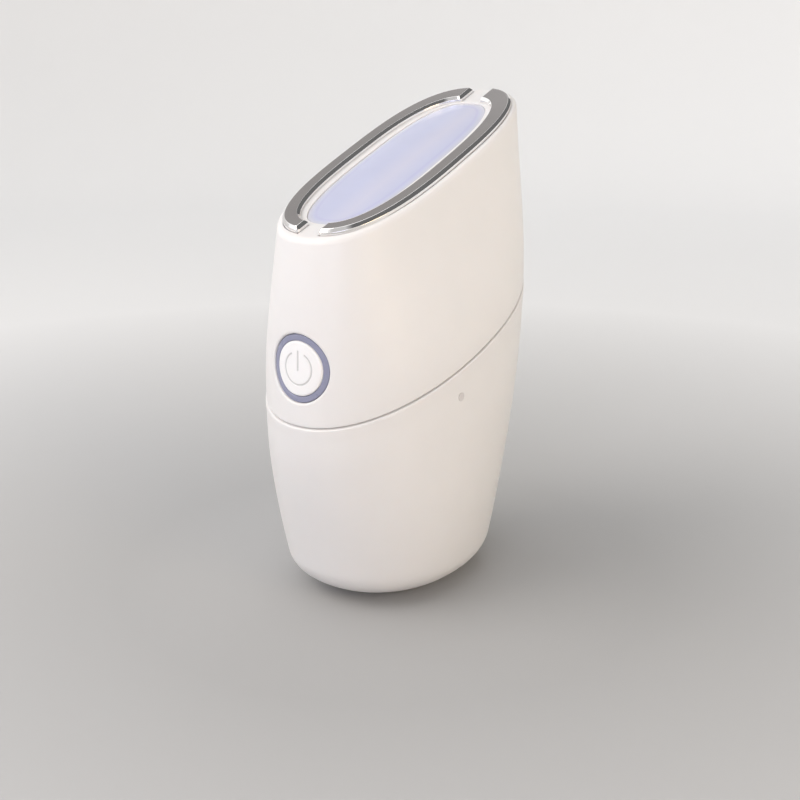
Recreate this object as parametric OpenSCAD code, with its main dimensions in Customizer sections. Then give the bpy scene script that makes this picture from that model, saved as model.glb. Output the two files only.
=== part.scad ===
// Hand-held LED photon device for the face.
// Millimetres, +Z up, origin on the resting plane under the handle, button side towards -Y.

/* [Face] */
// Height of the centre of the slanted face
face_height = 91.8; // [90:0.2:95]
// Slant of the face, in degrees, rising towards the back
face_slant = 21.3; // [18:0.1:24]
// Half length of the face along its slant
face_half_length = 36.2; // [35.8:0.1:37.5]
// Half width of the face
face_half_width = 16.45; // [16.3:0.05:18]
// How far the face centre lies behind the resting point
face_back = 4.6; // [3:0.2:6]
// Squareness of the face outline, where 2 is an ellipse
face_squareness = 2.55; // [2.5:0.05:2.9]
// Radius that rounds the rim of the face
face_fillet = 1.2; // [0.8:0.1:1.4]

/* [Seam between head and handle] */
// Height of the centre of the seam
seam_height = 54.3; // [52:0.1:57]
// Slant of the seam, in degrees
seam_slant = 20.3; // [18:0.1:24]
// Half depth of the body at the seam, seen from above
seam_half_depth = 34.9; // [34:0.1:37]
// Half width of the body at the seam
seam_half_width = 22.4; // [22.2:0.1:25]
// How far the seam centre lies behind the resting point
seam_back = 3.4; // [2:0.2:5]
// Squareness of the body section below the seam
body_squareness = 2.15; // [2.1:0.05:2.5]
// Gap that shows between the two housings
seam_gap = 0.3; // [0.2:0.05:0.5]
// How far the handle's rounded lip stands proud of the head
lip_proud = 0.2; // [0.1:0.05:0.4]
// Length of the head's tongue inside the handle
tongue_length = 2.2; // [1.6:0.2:3]
// Clearance between the tongue and its rebate
tongue_clearance = 0.1; // [0.05:0.05:0.2]

/* [Handle] */
// Height of the rounded corner above the resting plane
foot_height = 7.25; // [6:0.25:8]
// Half depth of the handle where the corner ends
foot_half_depth = 25.4; // [25:0.2:28]
// Half width of the handle where the corner ends
foot_half_width = 20; // [19.4:0.2:21.4]
// Half depth of the flat bottom
base_half_depth = 12; // [11.8:0.1:14]
// Half width of the flat bottom
base_half_width = 9.8; // [9.6:0.1:12]
// How far the flat bottom's centre lies behind the resting point
base_back = 1.2; // [0.6:0.2:2]
// Wall of both housings
wall = 2.2; // [1.8:0.1:2.4]
// Floor of the handle
floor_thickness = 2.4; // [2:0.1:3]

/* [Window] */
// Half length of the window's clear outline
window_half_length = 28.8; // [27.6:0.1:29]
// Half width of the window's clear outline
window_half_width = 9.35; // [9:0.05:9.7]
// Squareness of the window outline
window_squareness = 2.45; // [2.2:0.05:2.8]
// How far the window sits towards the low end of the face
window_shift = 0.9; // [0:0.1:1]
// Width of the flange that holds the window under the deck
window_flange = 1.2; // [1:0.1:1.5]
// Thickness of that flange
window_flange_thickness = 1.2; // [1:0.1:1.6]
// Height of the window's crown above its edge
window_crown = 0.7; // [0.3:0.1:1]
// Depth of the window's edge below the face
window_recess = 0.2; // [0.1:0.05:0.4]
// Clearance around the window in its opening
window_clearance = 0.1; // [0.05:0.05:0.15]

/* [Electrodes] */
// Half length of the electrodes' outer outline
electrode_half_length = 34.3; // [33.8:0.1:34.4]
// Half width of the electrodes' outer outline
electrode_half_width = 14.9; // [14.6:0.1:15]
// Half length of the electrodes' inner outline
electrode_inner_half_length = 29.9; // [29.8:0.1:30.4]
// Half width of the electrodes' inner outline
electrode_inner_half_width = 11.35; // [11.2:0.05:11.8]
// How much further the inner outline sits towards the low end than the window
electrode_shift = 0.2; // [0:0.05:0.3]
// Squareness of the electrode outlines
electrode_squareness = 2.75; // [2.5:0.05:3]
// Gap between the two electrodes at each end of the face, at the bottom of their seat
electrode_gap = 4.6; // [4:0.2:6]
// How far the end of an electrode leans back over its whole height
electrode_lean = 0.7; // [0.3:0.1:1]
// Height of the electrodes above the face
electrode_height = 1.3; // [1:0.1:2]
// Depth of the seat that the electrodes lie in
electrode_seat = 0.6; // [0.4:0.1:0.8]
// Bevel along the electrodes' inner edge
electrode_bevel = 0.4; // [0.2:0.1:0.6]
// Width of the rounded shoulder along the electrodes' outer edge and ends
electrode_shoulder = 0.85; // [0.6:0.05:1.3]
// Radius of the studs under the electrodes
stud_r = 0.8; // [0.7:0.05:0.9]
// Distance of the studs from the ends of the face
stud_reach = 17.2; // [16.5:0.1:18.5]

/* [Button] */
// Height of the button's centre above the front end of the seam
button_height = 11.8; // [11:0.1:12.6]
// Radius of the cap
cap_r = 5.6; // [5.3:0.1:5.7]
// Outer radius of the light ring
ring_r = 6.9; // [6.8:0.05:7.1]
// Running gap between cap and light ring
cap_clearance = 0.15; // [0.1:0.05:0.2]
// Depth of the light ring below the body surface
ring_recess = 0.35; // [0.2:0.05:0.5]
// Depth of the cap below the body surface
cap_recess = 0.15; // [0.1:0.05:0.3]
// How far the button travels
button_travel = 0.3; // [0.2:0.05:0.5]
// Thickness of the cap at its centre
cap_thickness = 1.6; // [1.4:0.1:2]
// Drop of the indicator light from the seam's centre
indicator_drop = 9.3; // [8.5:0.1:10]

/* [Inside] */
// Thickness of the deck under the face
deck_thickness = 2.2; // [2:0.1:2.6]
// Height of the reflector that holds the window down
reflector_height = 3.6; // [3.2:0.2:4.4]
// Thickness of the LED board
led_board_thickness = 1.6; // [1.2:0.2:2]
// Thickness of the fibreglass boards
board_thickness = 1.6; // [1:0.2:1.6]
// Half width of the main board
main_board_half_width = 13.4; // [12.6:0.2:13.6]
// Length of the main board
main_board_length = 42; // [40:1:43]
// Width of the cell
cell_width = 30; // [28:0.5:30.5]
// Length of the cell
cell_length = 38; // [34:1:38]
// Thickness of the cell
cell_thickness = 8; // [6:0.5:9]
// Radius of the vibration motor
motor_r = 3.5; // [3:0.1:4]
// Length of the vibration motor
motor_length = 12; // [10:1:13]
// Radius of the motor's eccentric weight
weight_r = 3; // [2.6:0.1:3.2]
// Height of the charge port's centre
port_height = 16; // [15:0.5:18]

/* [Hidden] */
$fn = 48;

// Points round each section of the housings, a multiple of four
section_points = 64;
// Points round each oval cut or plate
oval_count = 64;
// Sweep of the foot corner, short of a right angle so that it runs on into the side
corner_sweep = 80;
// Slopes of the side profile, outwards per millimetre of height
foot_depth_slope = 0.15;
foot_width_slope = 0.22;
seam_depth_slope = -0.03;
seam_width_slope = 0;
face_depth_slope = -0.16;
face_width_slope = -0.05;
face_back_slope = 0.04;

// Edges at the seam, and the pad in the flat bottom
lip_height = 0.5;
lip_round = 0.2;
head_edge = 0.25;
pad_proud = 0.25;
pad_recess = 0.8;

// Clearances
pad_clearance = 0.1;
fit_clearance = 0.05;
loose_clearance = 0.3;

// Screws, all of one family
screw_r = 0.85;
screw_head_r = 1.6;
screw_head_height = 1;
pilot_r = screw_r + fit_clearance;
boss_r = 2.2;
screw_bite = 5;
screw_gap_r = screw_r + 0.2;
driver_r = screw_head_r + 0.3;
boss_sink = 1.5;
trim_inset = 1;
trim_reach = 15;

// Colours
WHITE = [0.94, 0.92, 0.92];
LAVENDER = [0.8, 0.81, 0.9];
CHROME = [0.6, 0.6, 0.62];
RING_GREY = [0.55, 0.55, 0.65];
BOARD_GREEN = [0.1, 0.35, 0.2];
NYLON = [0.25, 0.26, 0.28];
STEEL = [0.75, 0.76, 0.78];
CELL_BLUE = [0.25, 0.4, 0.65];

// Plain helpers
function bow(v, n) = sign(v) * pow(abs(v), 2 / n);
function blend(a, b, ma, mb, span, u) =
  (2 * u * u * u - 3 * u * u + 1) * a + (u * u * u - 2 * u * u + u) * ma * span
  + (3 * u * u - 2 * u * u * u) * b + (u * u * u - u * u) * mb * span;
function mix(a, b, u) = a + (b - a) * u;
function solve(f, target, lo, hi, steps = 26) =
  steps == 0 ? (lo + hi) / 2
  : let (mid = (lo + hi) / 2)
    f(mid) < target ? solve(f, target, mid, hi, steps - 1) : solve(f, target, lo, mid, steps - 1);

// Body form. A section has its half depth, half width, place, height, slope and squareness.
// Its position runs from 0 at the flat bottom over 1 at the top of the foot corner
// and 2 at the seam to 3 at the rim of the face.
face_rise = tan(face_slant);
seam_rise = tan(seam_slant);
fillet_drop = face_fillet / cos(face_slant);
foot_back = 0.2;
foot_z = pad_proud + foot_height;
handle_span = seam_height - foot_z;
head_span = face_height - fillet_drop - seam_height;
face_half_depth = face_half_length * cos(face_slant);

function corner_section(u) =
  let (g = sin(u * corner_sweep) / sin(corner_sweep))
  [mix(base_half_depth, foot_half_depth, g), mix(base_half_width, foot_half_width, g),
   mix(base_back, foot_back, g),
   pad_proud + foot_height * (1 - cos(u * corner_sweep)) / (1 - cos(corner_sweep)),
   0, body_squareness];
function handle_section(u) =
  [blend(foot_half_depth, seam_half_depth, foot_depth_slope, seam_depth_slope, handle_span, u),
   blend(foot_half_width, seam_half_width, foot_width_slope, seam_width_slope, handle_span, u),
   blend(foot_back, seam_back, 0, 0, handle_span, u),
   foot_z + handle_span * u, seam_rise * u, body_squareness];
function head_section(u) =
  [blend(seam_half_depth, face_half_depth, seam_depth_slope, face_depth_slope, head_span, u),
   blend(seam_half_width, face_half_width, seam_width_slope, face_width_slope, head_span, u),
   blend(seam_back, face_back, 0, face_back_slope, head_span, u),
   seam_height + head_span * u, mix(seam_rise, face_rise, u),
   mix(body_squareness, face_squareness, u)];
function section(t) =
  t <= 1 ? corner_section(t) : t <= 2 ? handle_section(t - 1) : head_section(t - 2);

// One ring of points round the body, moved inwards and down
function ring(t, inset = 0, drop = 0) =
  let (s = section(t))
  [for (i = [0 : section_points - 1])
    let (a = 360 * i / section_points, along = (s[0] - inset) * bow(cos(a), s[5]))
    [(s[1] - inset) * bow(sin(a), s[5]), s[2] - along, s[3] - s[4] * along - drop]];

// Height and place of the body surface where a vertical line of the form crosses it
function reach(s, x) = s[0] * pow(1 - pow(min(1, abs(x) / s[1]), s[5]), 1 / s[5]);
function front_t(x, z) =
  solve(function(t) let (s = section(t)) s[3] - s[4] * reach(s, x), z, 0.05, 3);
function back_t(x, z) =
  solve(function(t) let (s = section(t)) s[3] + s[4] * reach(s, x), z, 0.05, 3);
function front_y(x, z) = let (s = section(front_t(x, z))) s[2] - reach(s, x);
function back_y(x, z) = let (s = section(back_t(x, z))) s[2] + reach(s, x);
function side_t(y, z) =
  solve(function(t) let (s = section(t)) s[3] + s[4] * (y - s[2]), z, 0.05, 3);
function side_x(y, z) =
  let (s = section(side_t(y, z)))
  s[1] * pow(1 - pow(min(1, abs(y - s[2]) / s[0]), s[5]), 1 / s[5]);

// Closed solid through rings of equal length, first and last ring capped
module skin(rings) {
  n = len(rings[0]);
  last = len(rings) - 1;
  points = [for (r = rings) each r];
  sides = [for (j = [0 : last - 1], i = [0 : n - 1])
    let (a = j * n + i, b = j * n + (i + 1) % n)
    each [[a, a + n, b + n], [a, b + n, b]]];
  first_cap = [for (i = [0 : n - 1]) i];
  last_cap = [for (i = [n - 1 : -1 : 0]) last * n + i];
  polyhedron(points, concat([first_cap], sides, [last_cap]));
}

function oval_points(half_x, half_y, n, count = oval_count) =
  [for (i = [0 : count - 1])
    let (a = 360 * i / count) [half_x * bow(sin(a), n), -half_y * bow(cos(a), n)]];
// Half width of such an oval at a place along it
function oval_x(half_x, half_y, n, y) = half_x * pow(1 - pow(abs(y) / half_y, n), 1 / n);
module oval(half_x, half_y, n) {
  polygon(oval_points(half_x, half_y, n));
}
// Upright plate or hole of an oval outline
module oval_plate(half_x, half_y, n, low, high) {
  translate([0, 0, low]) linear_extrude(high - low) oval(half_x, half_y, n);
}
// Cylinder from low to high along Z
module post(r, low, high) {
  translate([0, 0, low]) cylinder(r = r, h = high - low);
}
// Cylinder along Y, from the front end to the back end
module rod_y(r, front, back) {
  translate([0, front, 0]) rotate([-90, 0, 0]) cylinder(r = r, h = back - front);
}
// Cylinder along X
module rod_x(r, left, right) {
  translate([left, 0, 0]) rotate([0, 90, 0]) cylinder(r = r, h = right - left);
}
module block(low, high) {
  translate(low) cube(high - low);
}
// Pan head screw that points along +Z with its head below the origin plane
module screw(length) {
  post(screw_r, -fit_clearance, length);
  post(screw_head_r, -screw_head_height, 0);
}
// Children in the frame of the face: X across, Y up the slant, Z out of the face
module on_face() {
  translate([0, face_back, face_height]) rotate([face_slant, 0, 0]) children();
}
module both_sides() {
  children();
  mirror([1, 0, 0]) children();
}

// Places worked out from the form
button_z = seam_height - seam_rise * seam_half_depth + button_height;
button_y = front_y(0, button_z);

// Electrodes, their studs, nuts and tabs, and the LED board's bosses beside them
deck_low = -deck_thickness;
led_boss_r = 1.75;
led_boss_overlap = 0.25;
led_screw_x = window_half_width + window_flange + led_boss_r - led_boss_overlap;
stud_y = face_half_length - stud_reach;
led_boss_step = 7;
led_screw_y = stud_y - led_boss_step;
led_screw_bite = 3.5;
nut_r = 1.6;
tab_r = 1.5;
nut_height = 1.4;
tab_thickness = 0.4;
tab_length = 3;
tab_half_width = 1;
stud_end = 0.6;
stud_clearance = 0.1;
electrode_clearance = 0.12;
electrode_stations = 36;
// The top falls at an electrode's very ends, over this share of its length
electrode_end_share = 0.005;
electrode_end_drop = 0.25;
inner_shift = window_shift + electrode_shift;
stud_edge = 0.1;
function stud_x(y) = stud_r + stud_edge
  + oval_x(electrode_inner_half_width, electrode_inner_half_length, electrode_squareness, y + inner_shift);

// Window, reflector and LED board, down from the deck
window_low = deck_low - window_flange_thickness;
window_wall = 1.3;
window_hollow = 0.6;
reflector_out = 0.6;
reflector_wall = 1.3;
reflector_in = reflector_out - reflector_wall;
led_board_inset = 8.5;
led_board_squareness = 3;
led_half = [1.75, 1.4];
led_height = 0.8;
led_row_gap = 4.8;
led_pitch = 6;
board_high = window_low - reflector_height;
board_low = board_high - led_board_thickness;

// Cap, light ring, switch and switch board, back from the body's surface
form_span = 10;
ring_depth = 3.7;
ring_flange = 1.3;
ring_clearance = 0.1;
collar_wall = 1.3;
flange_thickness = 0.9;
cap_lip = 0.9;
cap_skirt = 1.2;
stem_r = 2;
stem_length = 5.2;
switch_height = 3.5;
switch_half = 3;
plunger_reach = 0.8;
ring_back = button_y + ring_depth;
ring_flange_r = ring_r + ring_flange;
collar_r = ring_flange_r + collar_wall;
collar_front = ring_back - flange_thickness;
cap_flange_back = ring_back + fit_clearance + flange_thickness;
switch_board_front = cap_flange_back + stem_length;
switch_board_back = switch_board_front + board_thickness;
switch_front = switch_board_front - switch_height;
plunger_front = switch_front - plunger_reach;
plunger_r = 1.75;
plunger_depth = 1;
plunger_gap = 0.1;
switch_board_half_width = 12.4;
switch_board_half_height = 8;
switch_boss_x = 10.4;
switch_boss_r = 1.8;
switch_screw_bite = 3.5;
ring_led_half = 0.8;
ring_led_out = 0.3;

// Main board, and the chassis plate behind it
main_board_back = -6;
main_board_front = main_board_back - board_thickness;
main_board_low = 18;
main_board_high = main_board_low + main_board_length;
plate_front = -3.4;
plate_back = -1.4;
standoff_r = 2;
standoff_inset = 2.9;
standoff_screw_bite = 2.5;
// Parts on the main board: place across, height above its lower edge, width, length, thickness
controller_chip = [-0.5, 23.5, 7, 7, 0.9];
inductor = [7.5, 14.5, 5, 5, 2.5];
charger_chip = [-7.5, 14, 5, 4, 0.9];
battery_socket = [0, 5, 8, 6, 4.5];
lead_socket = [0, 36, 12, 4, 2];
board_parts = [controller_chip, inductor, charger_chip, battery_socket, lead_socket];
small_part = [1, 2, 0.6];
small_pitch = 2;
small_parts = [for (i = [0 : 2])
  [inductor[0] - 0.5 + i * small_pitch, controller_chip[1] - 0.5, each small_part]];
standoff_x = main_board_half_width - standoff_inset;
standoff_z = [main_board_low + standoff_inset, main_board_high - standoff_inset];

// Cell and its tray
cell_front = plate_back + loose_clearance;
cell_back = cell_front + cell_thickness;
cell_low = 20;
cell_corner = 1.5;
tray_wall = 1.4;
tray_open = 2;
tray_lip = 14;
shelf_low = cell_low - loose_clearance - tray_wall;

// Chassis legs, the bosses under them, and the base pad
leg_x = 5.5;
leg_y = base_back;
floor_z = pad_proud + floor_thickness;
leg_boss_height = 2.2;
leg_boss_top = floor_z + leg_boss_height;
leg_low = leg_boss_top + fit_clearance;
leg_r = 2.6;
leg_boss_r = 3;
pad_inset = 1.4;
pad_top = pad_recess + pad_proud;
base_screw_seat = pad_top + screw_head_height + 0.2;

// Chassis ears under the head's bosses
ear_y = (main_board_back + cell_front) / 2;
ear_r = boss_r + 0.2;
ear_low = 63;
ear_high = 65;
head_boss_top = 76;
ear_x = side_x(ear_y, head_boss_top) - wall + boss_sink - boss_r;
plate_gap = 0.15;
plate_half_width = ear_x - driver_r - plate_gap;

// Vibration motor in its cradle, under its clip
motor_x = -8;
motor_y = 2.5;
motor_z = 72;
motor_gap = 0.1;
motor_shaft_r = 0.5;
shaft_depth = 5.5;
shaft_reach = 6;
bearing_r = 1.2;
bearing_length = 0.5;
weight_gap = 1;
weight_length = 4.5;
cradle_low = 64;
cradle_wall = 1.6;
cradle_front = plate_front - motor_y;
cradle_back = motor_r + cradle_wall;
clip_wall = 1.2;
clip_inset = 2;
clip_middle = motor_x + motor_length / 2;
nub_depth = 0.5;
nub_half = [1.6, 0.4];
nub_z = -4;

// Indicator light
pipe_out = 0.7;
pipe_y = main_board_back + pipe_out;
pipe_z = seam_height - indicator_drop;
pipe_r = 0.9;
pipe_gap = 0.4;
pipe_collar = 0.7;
pipe_collar_length = 1;
indicator_led_half = 0.8;
indicator_led_height = 1.3;
pipe_end = side_x(pipe_y, pipe_z);

// Charge port and its board
port_half_width = 4.47;
port_half_height = 1.63;
port_length = 7.4;
port_wall = 0.3;
port_floor = 0.8;
port_inset = 0.6;
port_clear = 1.1;
port_gap = 0.2;
tongue_half = [3.3, 0.35];
tongue_inset = 0.9;
port_mouth = back_y(0, port_height) - port_inset;
charge_board_high = port_height - port_half_height;
charge_board_half_width = 6.4;
charge_board_length = 12;
charge_board_thickness = 1;
charge_board_low = charge_board_high - charge_board_thickness;
charge_board_back = port_mouth - wall - port_clear;
charge_board_front = charge_board_back - charge_board_length;
charge_post_r = 2;
charge_post_x = charge_board_half_width - charge_post_r;
charge_post_y = charge_board_front + charge_post_r + 0.2;
charge_screw_bite = 3.5;

// The handle's cup: outside from the flat bottom up to the lip, rebate for the tongue, inside down
module handle_shell() {
  inside_floor = floor_z - pad_proud;
  outside = [
    for (t = [0 : 0.2 : 0.81]) ring(t),
    for (t = [1 : 0.125 : 1.9]) ring(t),
    ring(1.97, 0, 0),
    ring(2, -lip_proud, seam_gap + lip_height),
    ring(2, -lip_proud, seam_gap + lip_round),
    ring(2, 0, seam_gap),
    ring(2, wall / 2 - tongue_clearance / 2, seam_gap),
    ring(2, wall / 2 - tongue_clearance / 2, tongue_length + tongue_clearance),
    ring(2, wall, tongue_length + tongue_clearance)
  ];
  inside = [
    for (t = [1.8 : -0.2 : 1.15]) ring(t, wall),
    for (t = [1, 0.75, 0.5, 0.25, 0]) ring(t, wall, -inside_floor * (1 - t))
  ];
  skin(concat(outside, inside));
}

// Places of the two legs and of the charge board's two posts
module at_legs() {
  for (x = [-leg_x, leg_x]) translate([x, leg_y, 0]) children();
}
module at_charge_posts() {
  for (x = [-charge_post_x, charge_post_x]) translate([x, charge_post_y, 0]) children();
}

module lower_housing() {
  color(WHITE) difference() {
    union() {
      handle_shell();
      at_legs() post(leg_boss_r, floor_z - 1, leg_boss_top);
      at_charge_posts() post(charge_post_r, floor_z - 0.3, charge_board_low);
    }
    translate([0, base_back, 0]) base_oval(0, -1);
    at_legs() {
      post(driver_r, 0, base_screw_seat);
      post(screw_r + 0.25, 0, leg_boss_top + 1);
    }
    at_charge_posts() post(pilot_r, charge_board_high - screw_bite, charge_board_low + 1);
    translate([0, 0, port_height]) port_profile(port_gap, port_mouth - wall - 3, port_mouth + 5);
    translate([0, pipe_y, pipe_z]) rod_x(pipe_r + fit_clearance, pipe_end - wall - 2, pipe_end + 2);
  }
}

// The head's shell: inside of the deck, inside down to the tongue, outside up to the rounded rim
module head_shell() {
  deck_drop = deck_thickness / cos(face_slant);
  inside = [
    ring(3, wall, deck_drop - fillet_drop),
    for (t = [2.8 : -0.2 : 2.1]) ring(t, wall),
    ring(2, wall, tongue_length)
  ];
  outside = [
    ring(2, wall / 2 + tongue_clearance / 2, tongue_length),
    ring(2, wall / 2 + tongue_clearance / 2, 0),
    ring(2, head_edge, 0),
    ring(2.02, 0, 0),
    for (t = [2.1 : 0.1 : 3.01]) ring(min(t, 3)),
    for (a = [30, 60, 90]) ring(3, face_fillet * (1 - cos(a)), -fillet_drop * sin(a))
  ];
  skin(concat(inside, outside));
}

// Prism inside the wall, which trims bosses that grow out of the wall
module wall_trim(z, low, high) {
  s = section(side_t(seam_back, z));
  translate([0, s[2], low]) linear_extrude(high - low)
    polygon(oval_points(s[1] - trim_inset, s[0] - trim_inset, s[5]));
}

// Places of the switch board's two bosses, the two ears and the LED board's four bosses
module at_switch_bosses() {
  for (x = [-switch_boss_x, switch_boss_x]) translate([x, 0, button_z]) children();
}
module at_ears() {
  for (x = [-ear_x, ear_x]) translate([x, ear_y, 0]) children();
}
module at_led_bosses() {
  for (x = [-led_screw_x, led_screw_x], y = [-led_screw_y, led_screw_y]) translate([x, y, 0]) children();
}

module upper_housing() {
  color(WHITE) difference() {
    union() {
      head_shell();
      intersection() {
        union() {
          translate([0, 0, button_z]) rod_y(collar_r, button_y, ring_back + 0.2);
          at_switch_bosses() rod_y(switch_boss_r, button_y, switch_board_front);
        }
        wall_trim(button_z, button_z - trim_reach, button_z + trim_reach);
      }
      at_ears() post(boss_r, ear_high, head_boss_top);
      on_face() at_led_bosses() post(led_boss_r, board_high, deck_low + 1);
    }
    on_face() {
      translate([0, -window_shift, 0]) oval_plate(window_half_width + window_clearance,
        window_half_length + window_clearance, window_squareness, deck_low - 1, 5);
      both_sides() electrode_seat();
      both_sides() at_studs() post(stud_r + stud_clearance, deck_low - 2, 1);
      at_led_bosses() post(pilot_r, board_high - 1, board_high + led_screw_bite + 0.5);
    }
    translate([0, 0, button_z]) {
      rod_y(ring_r + ring_clearance, button_y - 5, ring_back + 2);
      rod_y(ring_flange_r + ring_clearance, collar_front, ring_back + 2);
    }
    at_switch_bosses() rod_y(pilot_r, switch_board_front - switch_screw_bite - 0.5, switch_board_front + 1);
    at_ears() post(pilot_r, ear_high - 1, ear_high + screw_bite + 1);
  }
}

// One electrode follows the ring between its outer and inner outline on the +X side.
// A share of 0 is its low end and 1 its high end, and both ends are cut off square to X.
function ring_point(half_x, half_y, shift, share, end_x) =
  let (start = asin(pow(end_x / half_x, electrode_squareness / 2)), a = mix(start, 180 - start, share))
  [half_x * bow(sin(a), electrode_squareness), -shift - half_y * bow(cos(a), electrode_squareness)];
function outer_point(share, end_x, grow = 0) =
  ring_point(electrode_half_width + grow, electrode_half_length + grow, 0, share, end_x);
function inner_point(share, end_x, grow = 0) =
  ring_point(electrode_inner_half_width - grow, electrode_inner_half_length - grow, inner_shift,
    share, end_x);
// The ends lean back as they rise
function electrode_end(height) = electrode_gap / 2
  + electrode_lean * (height + electrode_seat) / (electrode_height + electrode_seat);

// One section: bevel, flat top, rounded shoulder in two steps, outer side, bottom
function electrode_section(share, drop) =
  let (
    top = electrode_height - drop,
    inside = [[0, top - electrode_bevel], [electrode_bevel, top]],
    outside = [[electrode_shoulder, top], [electrode_shoulder * 0.35, top - electrode_shoulder * 0.25],
      [0, top - electrode_shoulder * 0.7], [0, -electrode_seat]]
  )
  [for (p = inside) electrode_corner(share, p, false), for (p = outside) electrode_corner(share, p, true),
   electrode_corner(share, [0, -electrode_seat], false)];
function electrode_corner(share, p, from_outer) =
  let (
    end_x = electrode_end(p[1]),
    outer = outer_point(share, end_x),
    inner = inner_point(share, end_x),
    across = p[0] * (outer - inner) / norm(outer - inner),
    place = from_outer ? outer - across : inner + across
  )
  [place[0], place[1], p[1]];

module electrode_bar() {
  steps = [0, for (i = [0 : electrode_stations])
    mix(electrode_end_share, 1 - electrode_end_share, i / electrode_stations), 1];
  skin([for (s = steps) electrode_section(s, s == 0 || s == 1 ? electrode_end_drop : 0)]);
}

// Cut for the electrode's seat, wider than the electrode all round
module electrode_seat() {
  gap = electrode_clearance;
  end_x = electrode_gap / 2 - gap;
  shares = [for (i = [0 : electrode_stations]) i / electrode_stations];
  translate([0, 0, -electrode_seat]) linear_extrude(electrode_seat + face_fillet)
    polygon([for (s = shares) outer_point(s, end_x, gap), for (s = shares) inner_point(1 - s, end_x, gap)]);
}

// Places of the studs of the electrode on the +X side
module at_studs() {
  for (y = [-stud_y, stud_y]) translate([stud_x(y), y, 0]) children();
}

module electrode() {
  stud_length = tab_thickness + nut_height + stud_end;
  on_face() {
    electrode_bar();
    at_studs() post(stud_r, deck_low - stud_length, 0);
  }
}
module electrode_right() {
  color(CHROME) electrode();
}
module electrode_left() {
  color(CHROME) mirror([1, 0, 0]) electrode();
}

// The nuts on the upper studs hold the contact tabs, so they sit lower by a tab's thickness
module electrode_nuts() {
  color(STEEL) on_face() both_sides() for (y = [-stud_y, stud_y])
    translate([stud_x(y), y, 0]) difference() {
      high = deck_low - (y > 0 ? tab_thickness : 0);
      translate([0, 0, high - nut_height]) rotate(30) cylinder(r = nut_r, h = nut_height, $fn = 6);
      post(stud_r + fit_clearance, high - nut_height - 1, high + 1);
    }
}

// Rings round the upper studs, each with a tail to solder a lead to
module contact_tabs() {
  color("gold") on_face() both_sides() translate([stud_x(stud_y), stud_y, 0]) difference() {
    union() {
      post(tab_r, deck_low - tab_thickness, deck_low);
      block([-tab_half_width, 0, deck_low - tab_thickness], [tab_half_width, tab_length, deck_low]);
    }
    post(stud_r + fit_clearance, deck_low - 1, deck_low + 1);
  }
}

// Crowned lens through the deck, with a flange under it, hollow above the LEDs
module light_window() {
  dome_rings = 5;
  function dome(u) = [for (p = oval_points(window_half_width * u, window_half_length * u, window_squareness))
    [p[0], p[1], -window_recess + window_crown * (1 - u * u)]];
  rim = oval_points(window_half_width, window_half_length, window_squareness);
  color(LAVENDER) on_face() translate([0, -window_shift, 0]) difference() {
    union() {
      skin([[for (p = rim) [p[0], p[1], window_low]], for (i = [dome_rings : -1 : 1]) dome(i / dome_rings)]);
      oval_plate(window_half_width + window_flange, window_half_length + window_flange,
        window_squareness, window_low, deck_low);
    }
    oval_plate(window_half_width - window_wall, window_half_length - window_wall, window_squareness,
      window_low - 1, deck_low + window_hollow);
  }
}

// Frame that stands on the LED board and holds the window's flange up against the deck
module reflector() {
  color("white") on_face() translate([0, -window_shift, 0]) difference() {
    oval_plate(window_half_width + reflector_out, window_half_length + reflector_out, window_squareness,
      board_high, window_low);
    oval_plate(window_half_width + reflector_in, window_half_length + reflector_in, window_squareness,
      board_high - 1, window_low + 1);
  }
}

module led_board() {
  color("whitesmoke") on_face() difference() {
    oval_plate(led_screw_x + led_boss_r, face_half_length - led_board_inset, led_board_squareness,
      board_low, board_high);
    at_led_bosses() post(screw_gap_r, board_low - 1, board_high + 1);
  }
}

// Three rows of LEDs, and one more LED at each end of the window
module led_chips() {
  rows = [for (x = [-led_row_gap, 0, led_row_gap], i = [-2.5 : 2.5]) [x, i * led_pitch]];
  ends = [for (i = [-3.5, 3.5]) [0, i * led_pitch]];
  color("lightyellow") on_face() translate([0, -window_shift, board_high]) for (p = concat(rows, ends))
    block([p[0] - led_half[0], p[1] - led_half[1], 0], [p[0] + led_half[0], p[1] + led_half[1], led_height]);
}

module led_board_screws() {
  color(STEEL) on_face() at_led_bosses() translate([0, 0, board_low])
    screw(led_board_thickness + led_screw_bite);
}

// Form of the body near the button, which the cap and the light ring are cut from
module button_form(recess) {
  steps = 6;
  low = front_t(0, button_z - form_span);
  high = front_t(0, button_z + form_span);
  skin([for (i = [0 : steps]) ring(mix(low, high, i / steps), recess)]);
}

// Cap with a skirt and a lip behind the light ring, hollow round the stem that presses the switch
module power_button() {
  cap_inside = button_y + cap_recess + cap_thickness;
  color(WHITE) {
    difference() {
      union() {
        intersection() {
          translate([0, 0, button_z]) rod_y(cap_r, button_y - 1, ring_back + fit_clearance);
          button_form(cap_recess);
        }
        translate([0, 0, button_z]) rod_y(cap_r + cap_lip, ring_back + fit_clearance, cap_flange_back);
      }
      translate([0, 0, button_z]) rod_y(cap_r - cap_skirt, cap_inside, cap_flange_back + 1);
    }
    translate([0, 0, button_z]) rod_y(stem_r, cap_inside - 0.5, plunger_front - fit_clearance);
  }
}

// Translucent ring, let into the head up to its flange
module button_light_ring() {
  color(RING_GREY) difference() {
    union() {
      intersection() {
        translate([0, 0, button_z]) rod_y(ring_r, button_y - 1, ring_back);
        button_form(ring_recess);
      }
      translate([0, 0, button_z]) rod_y(ring_flange_r, collar_front, ring_back);
    }
    translate([0, 0, button_z]) rod_y(cap_r + cap_clearance, button_y - 2, ring_back + 1);
  }
}

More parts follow.
